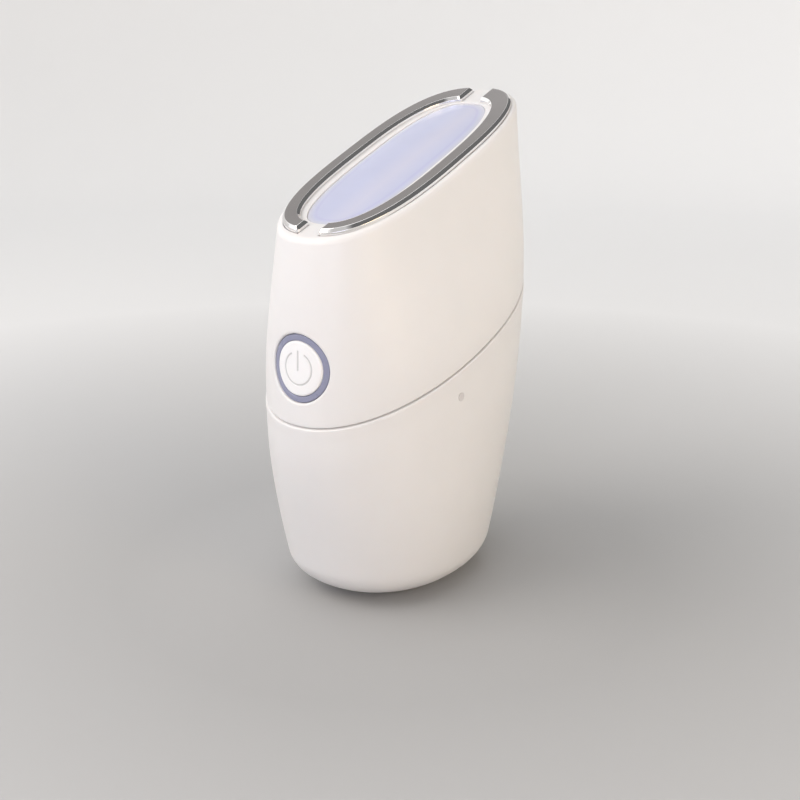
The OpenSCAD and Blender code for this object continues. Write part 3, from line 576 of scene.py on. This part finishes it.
# Painted shade: grey in the standby sign's groove, as deep as the groove is cut
tinted(cap_plastic, between(cap_tree, read(cap_tree, "sign"), 0, 1, from_low=0.2, from_high=1), SIGN_PAINTED_SHADE_GREY)
chrome = surface("chrome", (0.9, 0.885, 0.88), 0.09, metallic=1.0, shade=0.04, spread=0.02, grain=0.6,
                 depth=0.0004)
lens = surface("milky_lens", LENS, 0.22, shade=0.03, spread=0.03, grain=0.8, depth=0.0008,
               Subsurface_Weight=0.3, Subsurface_Radius=(1, 1, 1.1), Subsurface_Scale=1.5 * MM,
               Coat_Weight=0.3, Coat_Roughness=0.1)


def paint_lens_light_and_shade():
    """Paints light on the lens: a rosy stripe along it that is a painted reflection, a violet line inside
    its rim that is painted shade of the reflector's rim under it, and a pale rim that is a painted
    highlight.
    """
    tree = lens.node_tree
    inset = read(tree, "inset")
    split = tree.nodes.new("ShaderNodeSeparateXYZ")
    tree.links.new(object_place(tree), split.inputs["Vector"])
    # Painted reflection: a rosy stripe along the middle of the lens
    tinted(lens, hump(tree, split.outputs["X"], centre=3 * MM, width=4.5 * MM, share=0.6), LENS_PAINTED_REFLECTION)
    # Painted shade: a violet line inside the rim, over the reflector's rim under the lens
    tinted(lens, hump(tree, inset, centre=1.75, width=0.5, share=0.5), LENS_PAINTED_SHADE)
    # Painted highlight: a pale band along the lens's rounded rim
    tinted(lens, between(tree, inset, 0.8, 0, from_low=0.2, from_high=1.4), LENS_PAINTED_HIGHLIGHT)


paint_lens_light_and_shade()
ring_plastic = surface("light_ring", (0.30, 0.31, 0.43), 0.3, shade=0.05, grain=0.3, depth=0.001,
                       Subsurface_Weight=0.3, Subsurface_Radius=(1, 1, 1.2), Subsurface_Scale=1 * MM)
pipe_plastic = surface("light_pipe", (0.74, 0.71, 0.7), 0.4, shade=0.03, grain=0.3, depth=0.001)
steel = surface("steel", (0.6, 0.6, 0.61), 0.25, metallic=1.0, shade=0.08, grain=0.3, depth=0.001)
steel_can = surface("steel_can", (0.55, 0.55, 0.57), 0.32, metallic=1.0, shade=0.06, grain=0.4, depth=0.001,
                    stretch=(1, 8, 8))
brass = surface("brass", (0.72, 0.5, 0.2), 0.28, metallic=1.0, shade=0.08, grain=0.3, depth=0.001)
board_green = surface("solder_mask", (0.015, 0.11, 0.05), 0.35, shade=0.35, grain=0.5, depth=0.003)
board_white = surface("white_board", (0.75, 0.76, 0.76), 0.4, shade=0.05, grain=0.5, depth=0.002)
nylon = surface("nylon", (0.06, 0.065, 0.075), 0.5, shade=0.1, grain=0.3, depth=0.004)
black_plastic = surface("black_plastic", (0.02, 0.02, 0.022), 0.45, shade=0.2, grain=0.3, depth=0.003)
ivory_plastic = surface("ivory_plastic", (0.72, 0.67, 0.55), 0.4, shade=0.05, grain=0.3, depth=0.002)
reflector_white = surface("reflector_white", (0.85, 0.85, 0.84), 0.5, shade=0.03, grain=0.3, depth=0.002)
led_phosphor = surface("led_phosphor", (0.85, 0.72, 0.25), 0.35, shade=0.1, grain=0.4, depth=0.002)
cell_sleeve = surface("cell_sleeve", (0.05, 0.13, 0.32), 0.4, shade=0.1, grain=1.5, depth=0.02)
rubber = surface("rubber", (0.5, 0.5, 0.5), 0.75, shade=0.06, grain=0.2, depth=0.006)

NODE_FINISH = {
    "electrode_nuts": steel, "contact_tabs": brass, "reflector": reflector_white, "led_board": board_white,
    "led_chips": led_phosphor, "led_board_screws": steel, "switch_board": board_green,
    "tact_switch": black_plastic, "switch_plunger": ivory_plastic, "ring_leds": led_phosphor,
    "switch_board_screws": steel, "chassis": nylon, "chassis_screws": steel, "main_board": board_green,
    "board_components": black_plastic, "main_board_screws": steel, "indicator_led": led_phosphor,
    "indicator_light_pipe": pipe_plastic, "battery": cell_sleeve, "vibration_motor": steel_can,
    "motor_shaft": steel, "eccentric_weight": steel_can, "motor_clip": nylon, "charge_board": board_green,
    "charge_port": steel_can, "port_tongue": black_plastic, "charge_board_screws": steel,
    "base_pad": rubber, "base_screws": steel,
}


def finish_nodes():
    """Gives each CAD node that no piece replaces its finish."""
    for name, material in NODE_FINISH.items():
        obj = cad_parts[name]
        obj.data.materials.clear()
        obj.data.materials.append(material)
        obj.data.shade_smooth()
        obj.data.set_sharp_from_angle(angle=30 * DEGREE)


finish_nodes()

# Loops of the deck: the two crescent seats leave a bridge of cells at each end of the face
GAP_CELLS = 12
SEAT_CELLS = (COLUMNS - 2 * GAP_CELLS) // 2


def start_angle(half_x, x):
    """Polar angle at which an electrode's outline of half size half_x is x off its axis."""
    s = x / half_x
    return math.atan2(s, (1 - s**ELECTRODE_SQUARENESS) ** (1 / ELECTRODE_SQUARENESS))


def crescent_loop(half, shift, h):
    """Loop round the face whose columns meet both ends of the seats, beginning between their low ends."""
    half_x, half_y = half
    start = start_angle(half_x, SEAT_END)
    across, forward = around(ELECTRODE_SQUARENESS, np.linspace(start, math.pi - start, SEAT_CELLS + 1))
    right = np.stack([half_x * across, -half_y * forward], -1)
    bridge_x = np.linspace(SEAT_END, -SEAT_END, GAP_CELLS + 1)[1:-1]
    bridge = np.stack([bridge_x, reach(half_y, half_x, bridge_x, ELECTRODE_SQUARENESS)], -1)
    flat = np.concatenate([right, bridge, right[::-1] * (-1, 1), bridge[::-1] * (1, -1)])
    flat = np.roll(flat, GAP_CELLS // 2, axis=0)
    return on_face(flat[:, 0], flat[:, 1] - shift, h)


SEAT_END = ELECTRODE_GAP / 2 + SEAT_END_MARGIN
SEAT_OUTER = (ELECTRODE_OUTER[0] + SEAT_GAP, ELECTRODE_OUTER[1] + SEAT_GAP)
SEAT_INNER = (ELECTRODE_INNER[0] - SEAT_GAP, ELECTRODE_INNER[1] - SEAT_GAP)
in_seat = np.zeros(COLUMNS, bool)
in_seat[GAP_CELLS // 2:GAP_CELLS // 2 + SEAT_CELLS] = True
in_seat[GAP_CELLS // 2 + SEAT_CELLS + GAP_CELLS:COLUMNS - GAP_CELLS // 2] = True
seat_ends = [GAP_CELLS // 2, GAP_CELLS // 2 + SEAT_CELLS, GAP_CELLS // 2 + SEAT_CELLS + GAP_CELLS,
             COLUMNS - GAP_CELLS // 2]


def window_oval(grow, h, scale=1.0, squareness=LENS_SQUARENESS):
    """The window's outline, grown and then scaled, at a height over the face."""
    half_x, half_y = (WINDOW_HALF_WIDTH + grow) * scale, (WINDOW_HALF_LENGTH + grow) * scale
    across, forward = around(squareness)
    return on_face(half_x * across, -half_y * forward - WINDOW_SHIFT, h)


def deck(net, rim_row):
    """The face inside the rim: electrode seats and the rounded edge of the window's opening."""
    levels = (0, -ELECTRODE_SEAT)
    outer, outer_low = (net.row(crescent_loop(SEAT_OUTER, 0, h)) for h in levels)
    inner, inner_low = (net.row(crescent_loop(SEAT_INNER, ELECTRODE_INNER_SHIFT, h)) for h in levels)
    net.band(rim_row, outer)
    net.band(outer, inner, keep=~in_seat)
    net.band(outer, outer_low, keep=in_seat)
    net.band(outer_low, inner_low, keep=in_seat)
    net.band(inner_low, inner, keep=in_seat)
    for c in seat_ends:
        net.faces.append([outer[c], outer_low[c], inner_low[c], inner[c]])
    opening_edge = 0.2
    rows = [inner]
    for inset, drop in rounded_edge(opening_edge):
        rows.append(net.row(window_oval(WINDOW_CLEARANCE / 2 + inset, -drop)))
    rows.append(net.row(window_oval(WINDOW_CLEARANCE / 2, -DECK)))
    net.bands(rows)
    return rows[-1]


BUTTON_Y = float(front_point(np.zeros(1), np.full(1, float(BUTTON_HEIGHT)))[0, 1])
RING_DEPTH = 3.7
RING_BACK = BUTTON_Y + RING_DEPTH
FLANGE, FLANGE_WIDTH = 0.9, 1.3
RING_FLANGE_R = RING_R + FLANGE_WIDTH
COLLAR_R = RING_FLANGE_R + FLANGE_WIDTH
COLLAR_FRONT = RING_BACK - FLANGE
COLLAR_OVERLAP = 0.2
HOLE_CLEARANCE = 0.1
button_hole = Hole((0, BUTTON_HEIGHT), round_hole(RING_R + HOLE_CLEARANCE), front_point,
                   room=(11, 10.5), fillet=0.55)


def disc_row(net, angles, r, y):
    """A circle round the button's axis, in an upright plane."""
    x, z = r * np.cos(angles), BUTTON_HEIGHT + r * np.sin(angles)
    return net.row(np.stack([x, np.full(angles.shape, y), z], -1))


def front_circle(angles, r, inset):
    """A circle round the button's axis, on the body's front moved inwards."""
    return front_point(r * np.cos(angles), BUTTON_HEIGHT + r * np.sin(angles), inset)


# Rows up the head's wall: its outside begins over the rounded low edge, its inside ends under the deck
HEAD_PLACES = np.linspace(2.025, 3, 41)
INNER_ROWS = 38
UNDER_DECK = 2.93


def make_head():
    """Head with its tongue, rounded rim, deck and collar for the button."""
    net = Net()
    half_wall = (WALL + TONGUE_CLEARANCE) / 2
    low_edge = 0.3
    lower = [(WALL, TONGUE_LENGTH), (half_wall, TONGUE_LENGTH), (half_wall, 0)]
    lower += [(inset, -rise) for inset, rise in rounded_edge(low_edge, 5)]
    lower_rows = [net.row(ring(2, inset, drop)) for inset, drop in lower]
    wall_rows = [net.row(ring(t)) for t in HEAD_PLACES]
    rim_turns = np.linspace(0, math.pi / 2, 13)[1:]
    rim = [(FACE_FILLET * (1 - math.cos(a)), -FILLET_DROP * math.sin(a)) for a in rim_turns]
    rim_rows = [wall_rows[-1]] + [net.row(ring(3, inset, drop)) for inset, drop in rim]
    net.bands(lower_rows + [wall_rows[0]])
    button_hole.find_block(net, wall_rows)
    wall_grid(net, wall_rows, [button_hole])
    net.bands(rim_rows)
    opening_low = deck(net, rim_rows[-1])
    deck_drop = DECK / math.cos(FACE_SLANT)
    under = net.row(ring(3, WALL, deck_drop - FILLET_DROP))
    net.band(opening_low, under)
    inner_rows = [net.row(ring(min(t, UNDER_DECK), WALL)) for t in HEAD_PLACES[:INNER_ROWS]]
    net.band(under, inner_rows[-1])
    wall_grid(net, inner_rows, [button_hole])
    net.band(inner_rows[0], lower_rows[0])
    outside, angles = hole_rings(net, button_hole, wall_rows, fillet=button_hole.fillet)
    hole_r, flange_r = RING_R + HOLE_CLEARANCE, RING_FLANGE_R + HOLE_CLEARANCE
    collar_back = RING_BACK + COLLAR_OVERLAP
    steps = [(hole_r, COLLAR_FRONT), (flange_r, COLLAR_FRONT), (flange_r, collar_back),
             (COLLAR_R, collar_back)]
    collar = [outside] + [disc_row(net, angles, r, y) for r, y in steps]
    net.bands(collar)
    collar_hole = Hole(button_hole.centre, round_hole(COLLAR_R), front_point, button_hole.room, fillet=0)
    collar_hole.columns, collar_hole.rows = button_hole.columns, button_hole.rows
    inside, _ = hole_rings(net, collar_hole, inner_rows, inset=WALL, steps=3)
    net.band(collar[-1], inside)
    return net.piece("head_shell", white_plastic, replaces=["upper_housing"])


make_head()

PIPE_Y, PIPE_Z, PIPE_R, PIPE_CLEARANCE = -5.3, 45, 0.9, 0.02
PORT_HEIGHT = 16
PORT_HALF_WIDTH, PORT_HALF_HEIGHT, PORT_CLEARANCE = 4.47, 1.63, 0.2
port_r = PORT_HALF_HEIGHT + PORT_CLEARANCE
port_straight = PORT_HALF_WIDTH + PORT_CLEARANCE - port_r
port_hole = Hole((0, PORT_HEIGHT), stadium_hole(port_straight, port_r), back_point,
                 room=(7.5, 5), fillet=0.25)
pipe_hole = Hole((PIPE_Y, PIPE_Z), round_hole(PIPE_R + PIPE_CLEARANCE), side_point,
                 room=(2.4, 2.1), fillet=0.05)


def make_handle():
    """Handle with its proud lip, the rebate for the tongue, and the recess of the base pad."""
    net = Net()
    half_wall = (WALL - TONGUE_CLEARANCE) / 2
    corner = np.linspace(0, 1, 17)
    side = np.linspace(1, LIP_START, 47)[1:]
    places = np.concatenate([corner, side])
    wall_rows = [net.row(ring(t)) for t in places]
    for hole in (port_hole, pipe_hole):
        hole.find_block(net, wall_rows)
    wall_grid(net, wall_rows, [port_hole, pipe_hole])
    lip = []
    for t in np.linspace(LIP_START, LIP_END, 9)[1:]:
        share = (t - LIP_START) / (LIP_END - LIP_START)
        lip.append(net.row(ring(t, -LIP_PROUD * share**2 * (3 - 2 * share))))
    for drop, inset in rounded_edge(SEAM_BEAD, 8):
        lip.append(net.row(ring(2, inset - LIP_PROUD, SEAM_GAP + drop)))
    rebate = TONGUE_LENGTH + TONGUE_CLEARANCE
    lip.append(net.row(ring(2, half_wall, SEAM_GAP)))
    lip.append(net.row(ring(2, half_wall, rebate)))
    lip.append(net.row(ring(2, WALL, rebate)))
    net.bands([wall_rows[-1]] + lip)
    inner_rows = [net.row(ring(t, WALL, -FLOOR_THICKNESS * max(0, 1 - t))) for t in places]
    net.band(lip[-1], inner_rows[-1])
    wall_grid(net, inner_rows, [port_hole, pipe_hole])
    net.lid(inner_rows[0])
    pad_outline = around(BODY_SQUARENESS)
    half_x, half_y = BASE_HALF_WIDTH - PAD_INSET, BASE_HALF_DEPTH - PAD_INSET
    recess = [net.row(np.stack([half_x * pad_outline[0], BASE_BACK - half_y * pad_outline[1],
                                np.full(COLUMNS, z)], -1)) for z in (PAD_PROUD, PAD_TOP)]
    net.bands([wall_rows[0]] + recess)
    net.lid(recess[-1])
    for hole in (port_hole, pipe_hole):
        outside, _ = hole_rings(net, hole, wall_rows, fillet=hole.fillet, steps=4)
        inside, _ = hole_rings(net, hole, inner_rows, inset=WALL, steps=4)
        net.band(outside, inside)
    return net.piece("handle_shell", white_plastic, replaces=["lower_housing"])


make_handle()


# Steps across an electrode's chamfered edge, from the wall to the flat top
EDGE_STEPS = np.array([0, 0.005, 0.018, 0.044, 0.14, 0.24, 0.34, 0.44,
                       0.52, 0.55, 0.58, 0.62, 0.65, 0.68, 0.85, 1.1])


def edge_height(distance):
    """Height of an electrode at a distance from its edge: wall, chamfer and flat top, softly joined."""
    wall_round, soft = 0.15, 0.08
    wall_top = ELECTRODE_HEIGHT - ELECTRODE_CHAMFER
    d = np.maximum(distance, 0)
    curve = wall_top - (math.sqrt(2) - 1) * wall_round
    curve = curve + np.sqrt(np.maximum(0, wall_round**2 - (wall_round - np.minimum(d, wall_round)) ** 2))
    slope = wall_top + d
    top_blend = ELECTRODE_HEIGHT - np.clip(ELECTRODE_CHAMFER + soft - d, 0, 2 * soft) ** 2 / (4 * soft)
    h = np.where(d < wall_round * (1 - math.sqrt(0.5)), curve, slope)
    return np.where(d > ELECTRODE_CHAMFER - soft, top_blend, h)


def corner_distance(p, q, radius):
    """Distance from the outline of a rounded corner for a point p off one side and q off the other."""
    rounded = radius - np.hypot(radius - p, radius - q)
    return np.where((p < radius) & (q < radius), rounded, np.minimum(p, q))


def electrode_stations():
    """Angles on the outer and inner outline, and the distance from the nearer end, from end to end."""
    end_x = ELECTRODE_GAP / 2 + ELECTRODE_END_MARGIN
    halves = (ELECTRODE_OUTER[0], ELECTRODE_INNER[0])
    pairs = np.array([[start_angle(half_x, end_x + s) for half_x in halves] for s in EDGE_STEPS])
    middle = np.linspace(0, 1, 161)[1:-1, None]
    far_from_ends = np.full(len(middle), 9.0)
    angles = np.concatenate([pairs, mix(pairs[-1], math.pi - pairs[-1], middle), math.pi - pairs[::-1]])
    distance = np.concatenate([EDGE_STEPS, far_from_ends, EDGE_STEPS[::-1]])
    return angles, distance


def outline_point(half, shift, angle):
    across, forward = around(ELECTRODE_SQUARENESS, angle)
    return np.array([half[0] * across, -half[1] * forward - shift])


def make_electrode(node, name, sign):
    """A crescent bar with chamfered edges and ends, with a thin lip over the deck at its inner edge."""
    net = Net()
    outer_corner, inner_corner, lap = 0.8, 0.35, 0.03
    rows = []
    for (outer_angle, inner_angle), s in zip(*electrode_stations()):
        outer = outline_point(ELECTRODE_OUTER, 0, outer_angle)
        inner = outline_point(ELECTRODE_INNER, ELECTRODE_INNER_SHIFT, inner_angle)
        across = (outer - inner) / np.linalg.norm(outer - inner)
        inner = inner - across * ELECTRODE_LIP
        corners = []
        for start, way, corner in ((inner, across, inner_corner), (outer, -across, outer_corner)):
            near = max(0, corner - s)
            first = corner - math.sqrt(corner**2 - near**2)
            p = first + EDGE_STEPS
            h = edge_height(corner_distance(p, np.full(p.shape, s), corner))
            side = [(*(start + way * d), z) for d, z in zip(p, h)]
            foot = start + way * first
            if corner == inner_corner:
                seat = start + way * (first + ELECTRODE_LIP)
                side = [(*seat, -ELECTRODE_SEAT), (*seat, lap), (*foot, lap)] + side
            else:
                side = [(*foot, -ELECTRODE_SEAT)] + side
                side = side[::-1]
            corners += side
        corners = np.array(corners)
        rows.append(net.row(on_face(sign * corners[:, 0], corners[:, 1], corners[:, 2])))
    net.bands(rows)
    net.faces.append(list(rows[0]))
    net.faces.append(list(rows[-1]))
    return net.piece(name, chrome, replaces=[node], sharp=50)


make_electrode("electrode_right", "right_crescent", 1)
make_electrode("electrode_left", "left_crescent", -1)


def make_window():
    """Milky lens: a crowned top with a rounded edge, a skirt through the deck and a flange under it."""
    net = Net()
    edge, even_inset = 0.15, 3
    places = [(even_inset, share) for share in np.linspace(0.04, 1, 22)[:-1]]
    places += [(d, 1) for d in np.linspace(even_inset, edge, 16)]
    rows, inset_of = [], []
    for inset, scale in places:
        oval = window_oval(-inset, 0, scale)
        along = (oval - on_face(0, -WINDOW_SHIFT)) @ (on_face(0, 1) - on_face(0, 0))
        share = np.abs(oval[:, 0] / WINDOW_HALF_WIDTH) ** 2 + np.abs(along / WINDOW_HALF_LENGTH) ** 2
        h = WINDOW_CROWN * (1 - np.minimum(1, share)) - WINDOW_RECESS
        rows.append(net.row(oval + h[:, None] * (on_face(0, 0, 1) - on_face(0, 0, 0))))
        inset_of.append(inset)
    for inset, drop in rounded_edge(edge)[1:]:
        rows.append(net.row(window_oval(-inset, -WINDOW_RECESS - drop)))
        inset_of.append(inset)
    flange_low, hollow_top = -DECK - WINDOW_FLANGE_THICKNESS, -DECK + 0.6
    rows.append(net.row(window_oval(0, -DECK)))
    inset_of.append(0)
    for grow, h in ((WINDOW_FLANGE, -DECK), (WINDOW_FLANGE, flange_low), (-WINDOW_FLANGE, flange_low),
                    (-WINDOW_FLANGE, hollow_top)):
        rows.append(net.row(window_oval(grow, h, squareness=WINDOW_SQUARENESS)))
        inset_of.append(0)
    net.bands(rows)
    net.lid(rows[0])
    net.lid(rows[-1])
    obj = net.piece("milky_window", lens, replaces=["light_window"])
    mark(obj, "inset", list(np.repeat(inset_of, COLUMNS)) + [even_inset, 0])
    return obj


make_window()


def symbol_share(x, z):
    """How deep the standby sign, an open circle with a bar, is cut: 1 at its bottom, 0 off it. The same
    share lays painted shade into the groove.
    """
    line, soft, circle_r, opening = 0.19, 0.18, 3.3, 30 * DEGREE
    bar_low, bar_high = -0.3, 3.5
    turn = np.arctan2(x, z)
    to_circle = np.abs(np.hypot(x, z) - circle_r)
    end = circle_r * np.array([math.sin(opening), math.cos(opening)])
    to_end = np.hypot(np.abs(x) - end[0], z - end[1])
    to_circle = np.where(np.abs(turn) < opening, to_end, to_circle)
    to_bar = np.hypot(x, z - np.clip(z, bar_low, bar_high))
    near = np.minimum(to_circle, to_bar)
    return np.clip((line + soft / 2 - near) / soft, 0, 1)


def make_cap():
    """Hollow cap with the sign cut into its top, a lip behind the light ring, and a stem."""
    net = Net()
    edge, deep, columns = 0.45, 0.13, 384
    phi = np.arange(columns) * 2 * np.pi / columns
    rows, marks = [], []
    for r in np.linspace(0.08, CAP_R - edge, 84):
        points = front_circle(phi, r, CAP_RECESS)
        share = symbol_share(points[:, 0], points[:, 2] - BUTTON_HEIGHT)
        points[:, 1] += deep * share
        rows.append(net.row(points))
        marks += list(share)
    for inset, sink in rounded_edge(edge, 8)[1:]:
        rows.append(net.row(front_circle(phi, CAP_R - inset, CAP_RECESS) + (0, sink, 0)))
    lip_front = RING_BACK + FIT
    lip_back = lip_front + FLANGE
    inside = BUTTON_Y + CAP_RECESS + CAP_THICKNESS
    stem_end = lip_back + STEM_LENGTH - SWITCH_HEIGHT - PLUNGER_REACH - FIT
    lip_r, hollow_r = CAP_R + CAP_LIP, CAP_R - CAP_SKIRT
    for r, y in ((CAP_R, lip_front), (lip_r, lip_front), (lip_r, lip_back), (hollow_r, lip_back),
                 (hollow_r, inside), (STEM_R, inside), (STEM_R, stem_end)):
        rows.append(disc_row(net, phi, r, y))
    net.bands(rows)
    net.lid(rows[0])
    net.lid(rows[-1])
    obj = net.piece("power_cap", cap_plastic, body="button", replaces=["power_button"],
                    sharp=50)
    mark(obj, "sign", marks + [0] * (net.count - len(marks)))
    return obj


make_cap()


def make_light_ring():
    """Ring round the cap, with a flange behind the head's wall."""
    net = Net()
    edge = 0.2
    inner_r = CAP_R + CAP_CLEARANCE / 2
    top = [(inner_r + inset, sink) for sink, inset in rounded_edge(edge)]
    top += [(RING_R - inset, sink) for inset, sink in rounded_edge(edge)]
    rows = [net.row(front_circle(PHI, r, RING_RECESS) + (0, sink, 0)) for r, sink in top]
    for r, y in ((RING_R, COLLAR_FRONT), (RING_FLANGE_R, COLLAR_FRONT), (RING_FLANGE_R, RING_BACK),
                 (inner_r, RING_BACK)):
        rows.append(disc_row(net, PHI, r, y))
    net.bands(rows + rows[:1])
    return net.piece("button_ring", ring_plastic, replaces=["button_light_ring"])


make_light_ring()


# Floor, studio light and surroundings
# Painted shadow: the floor is darker round the object and fades out between these distances in millimetres
FLOOR_PAINTED_SHADOW, FLOOR_FAR = (0.45, 0.45, 0.45), (0.88, 0.88, 0.88)
FLOOR_SHADOW_FADE = (60, 280)
LIGHT_AIM = 50
SKY_EVEN = (1.16, 1.16, 1.16)
SKY_LEAST = (0.15, 0.15, 0.15)
# Azimuth, elevation, angle where a patch of sky is full and where it ends, and its colour
SKY_PATCHES = (
    (7, 38, 9, 23, (-0.55, -0.56, -0.56)),
    (60, 47, 12, 28, (-1.06, -1.06, -1.06)),
    (98, 52, 12, 28, (-1.06, -1.06, -1.06)),
    (135, 48, 12, 28, (-1.06, -1.06, -1.06)),
    (168, 36, 12, 28, (-1.06, -1.06, -1.06)),
    (-165, 18, 10, 26, (-1.06, -1.06, -1.06)),
    (-126, 45, 8, 26, (-0.84, -0.855, -0.86)),
    (0, 90, 10, 26, (0.62, 0.62, 0.62)),
)


def make_stage():
    """A pale round floor with a painted shadow that darkens it near the object, whose edge bends up into a
    low wall.
    """
    floor_finish = surface("floor", FLOOR_FAR, 0.7, shade=0.01, patch=200, grain=3, depth=0.01)
    tree = floor_finish.node_tree
    length = tree.nodes.new("ShaderNodeVectorMath")
    length.operation = "LENGTH"
    tree.links.new(object_place(tree), length.inputs[0])
    low, high = FLOOR_SHADOW_FADE
    # Painted shadow round the object on the floor, which also throws less light back onto the handle
    tinted(floor_finish, between(tree, length.outputs["Value"], 1, 0, low * MM, high * MM), FLOOR_PAINTED_SHADOW)
    middle, start, bend, top = 300, 600, 250, 330
    profile = [(middle, 0), (start, 0)]
    for a in np.linspace(0, math.pi / 2, 13)[1:]:
        profile.append((start + bend * math.sin(a), bend * (1 - math.cos(a))))
    profile.append((start + bend, top))
    net = Net()
    turns = np.linspace(0, 2 * np.pi, 97)[:-1]
    rows = []
    for r, z in profile:
        rows.append(net.row(np.stack([r * np.cos(turns), r * np.sin(turns), np.full(turns.shape, z)], -1)))
    net.bands(rows)
    net.lid(rows[0])
    net.object("floor", floor_finish)


def make_sky(even, patches):
    """An even soft sky with lighter and darker patches."""
    world = bpy.context.scene.world or bpy.data.worlds.new("world")
    bpy.context.scene.world = world
    world.use_nodes = True
    tree = world.node_tree
    place = tree.nodes.new("ShaderNodeTexCoord").outputs["Generated"]
    total = None
    for azimuth, elevation, full, end, colour in patches:
        dot = tree.nodes.new("ShaderNodeVectorMath")
        dot.operation = "DOT_PRODUCT"
        tree.links.new(place, dot.inputs[0])
        dot.inputs[1].default_value = direction(azimuth, elevation)
        share = tree.nodes.new("ShaderNodeMapRange")
        share.interpolation_type = "SMOOTHSTEP"
        share.inputs["From Min"].default_value = math.cos(end * DEGREE)
        share.inputs["From Max"].default_value = math.cos(full * DEGREE)
        tree.links.new(dot.outputs["Value"], share.inputs["Value"])
        add = tree.nodes.new("ShaderNodeVectorMath")
        add.operation = "MULTIPLY_ADD"
        tree.links.new(share.outputs["Result"], add.inputs[0])
        add.inputs[1].default_value = colour
        add.inputs[2].default_value = even
        if total:
            tree.links.new(total, add.inputs[2])
        total = add.outputs["Vector"]
    least = tree.nodes.new("ShaderNodeVectorMath")
    least.operation = "MAXIMUM"
    tree.links.new(total, least.inputs[0])
    least.inputs[1].default_value = SKY_LEAST
    tree.links.new(least.outputs["Vector"], tree.nodes["Background"].inputs["Color"])
    tree.nodes["Background"].inputs["Strength"].default_value = 1


def soft_light(name, azimuth, elevation, distance, size, power, colour):
    """A round light aimed at the object's middle."""
    data = bpy.data.lights.new(name, "AREA")
    data.shape = "DISK"
    data.size = size * MM
    data.energy = power
    data.color = colour
    light = bpy.data.objects.new(name, data)
    bpy.context.scene.collection.objects.link(light)
    towards = direction(azimuth, elevation)
    light.location = (towards * distance + Vector((0, 0, LIGHT_AIM))) * MM
    light.rotation_euler = (-towards).to_track_quat("-Z", "Y").to_euler()


make_stage()
soft_light("key", -40, 42, 600, 420, 1.05, (1, 0.92, 0.85))
soft_light("front", 20, 14, 700, 420, 0.6, (0.7, 0.74, 1))
soft_light("right", 80, 14, 700, 420, 0.95, (1, 0.75, 0.42))
make_sky(SKY_EVEN, SKY_PATCHES)
bpy.context.scene.view_settings.view_transform = "Standard"
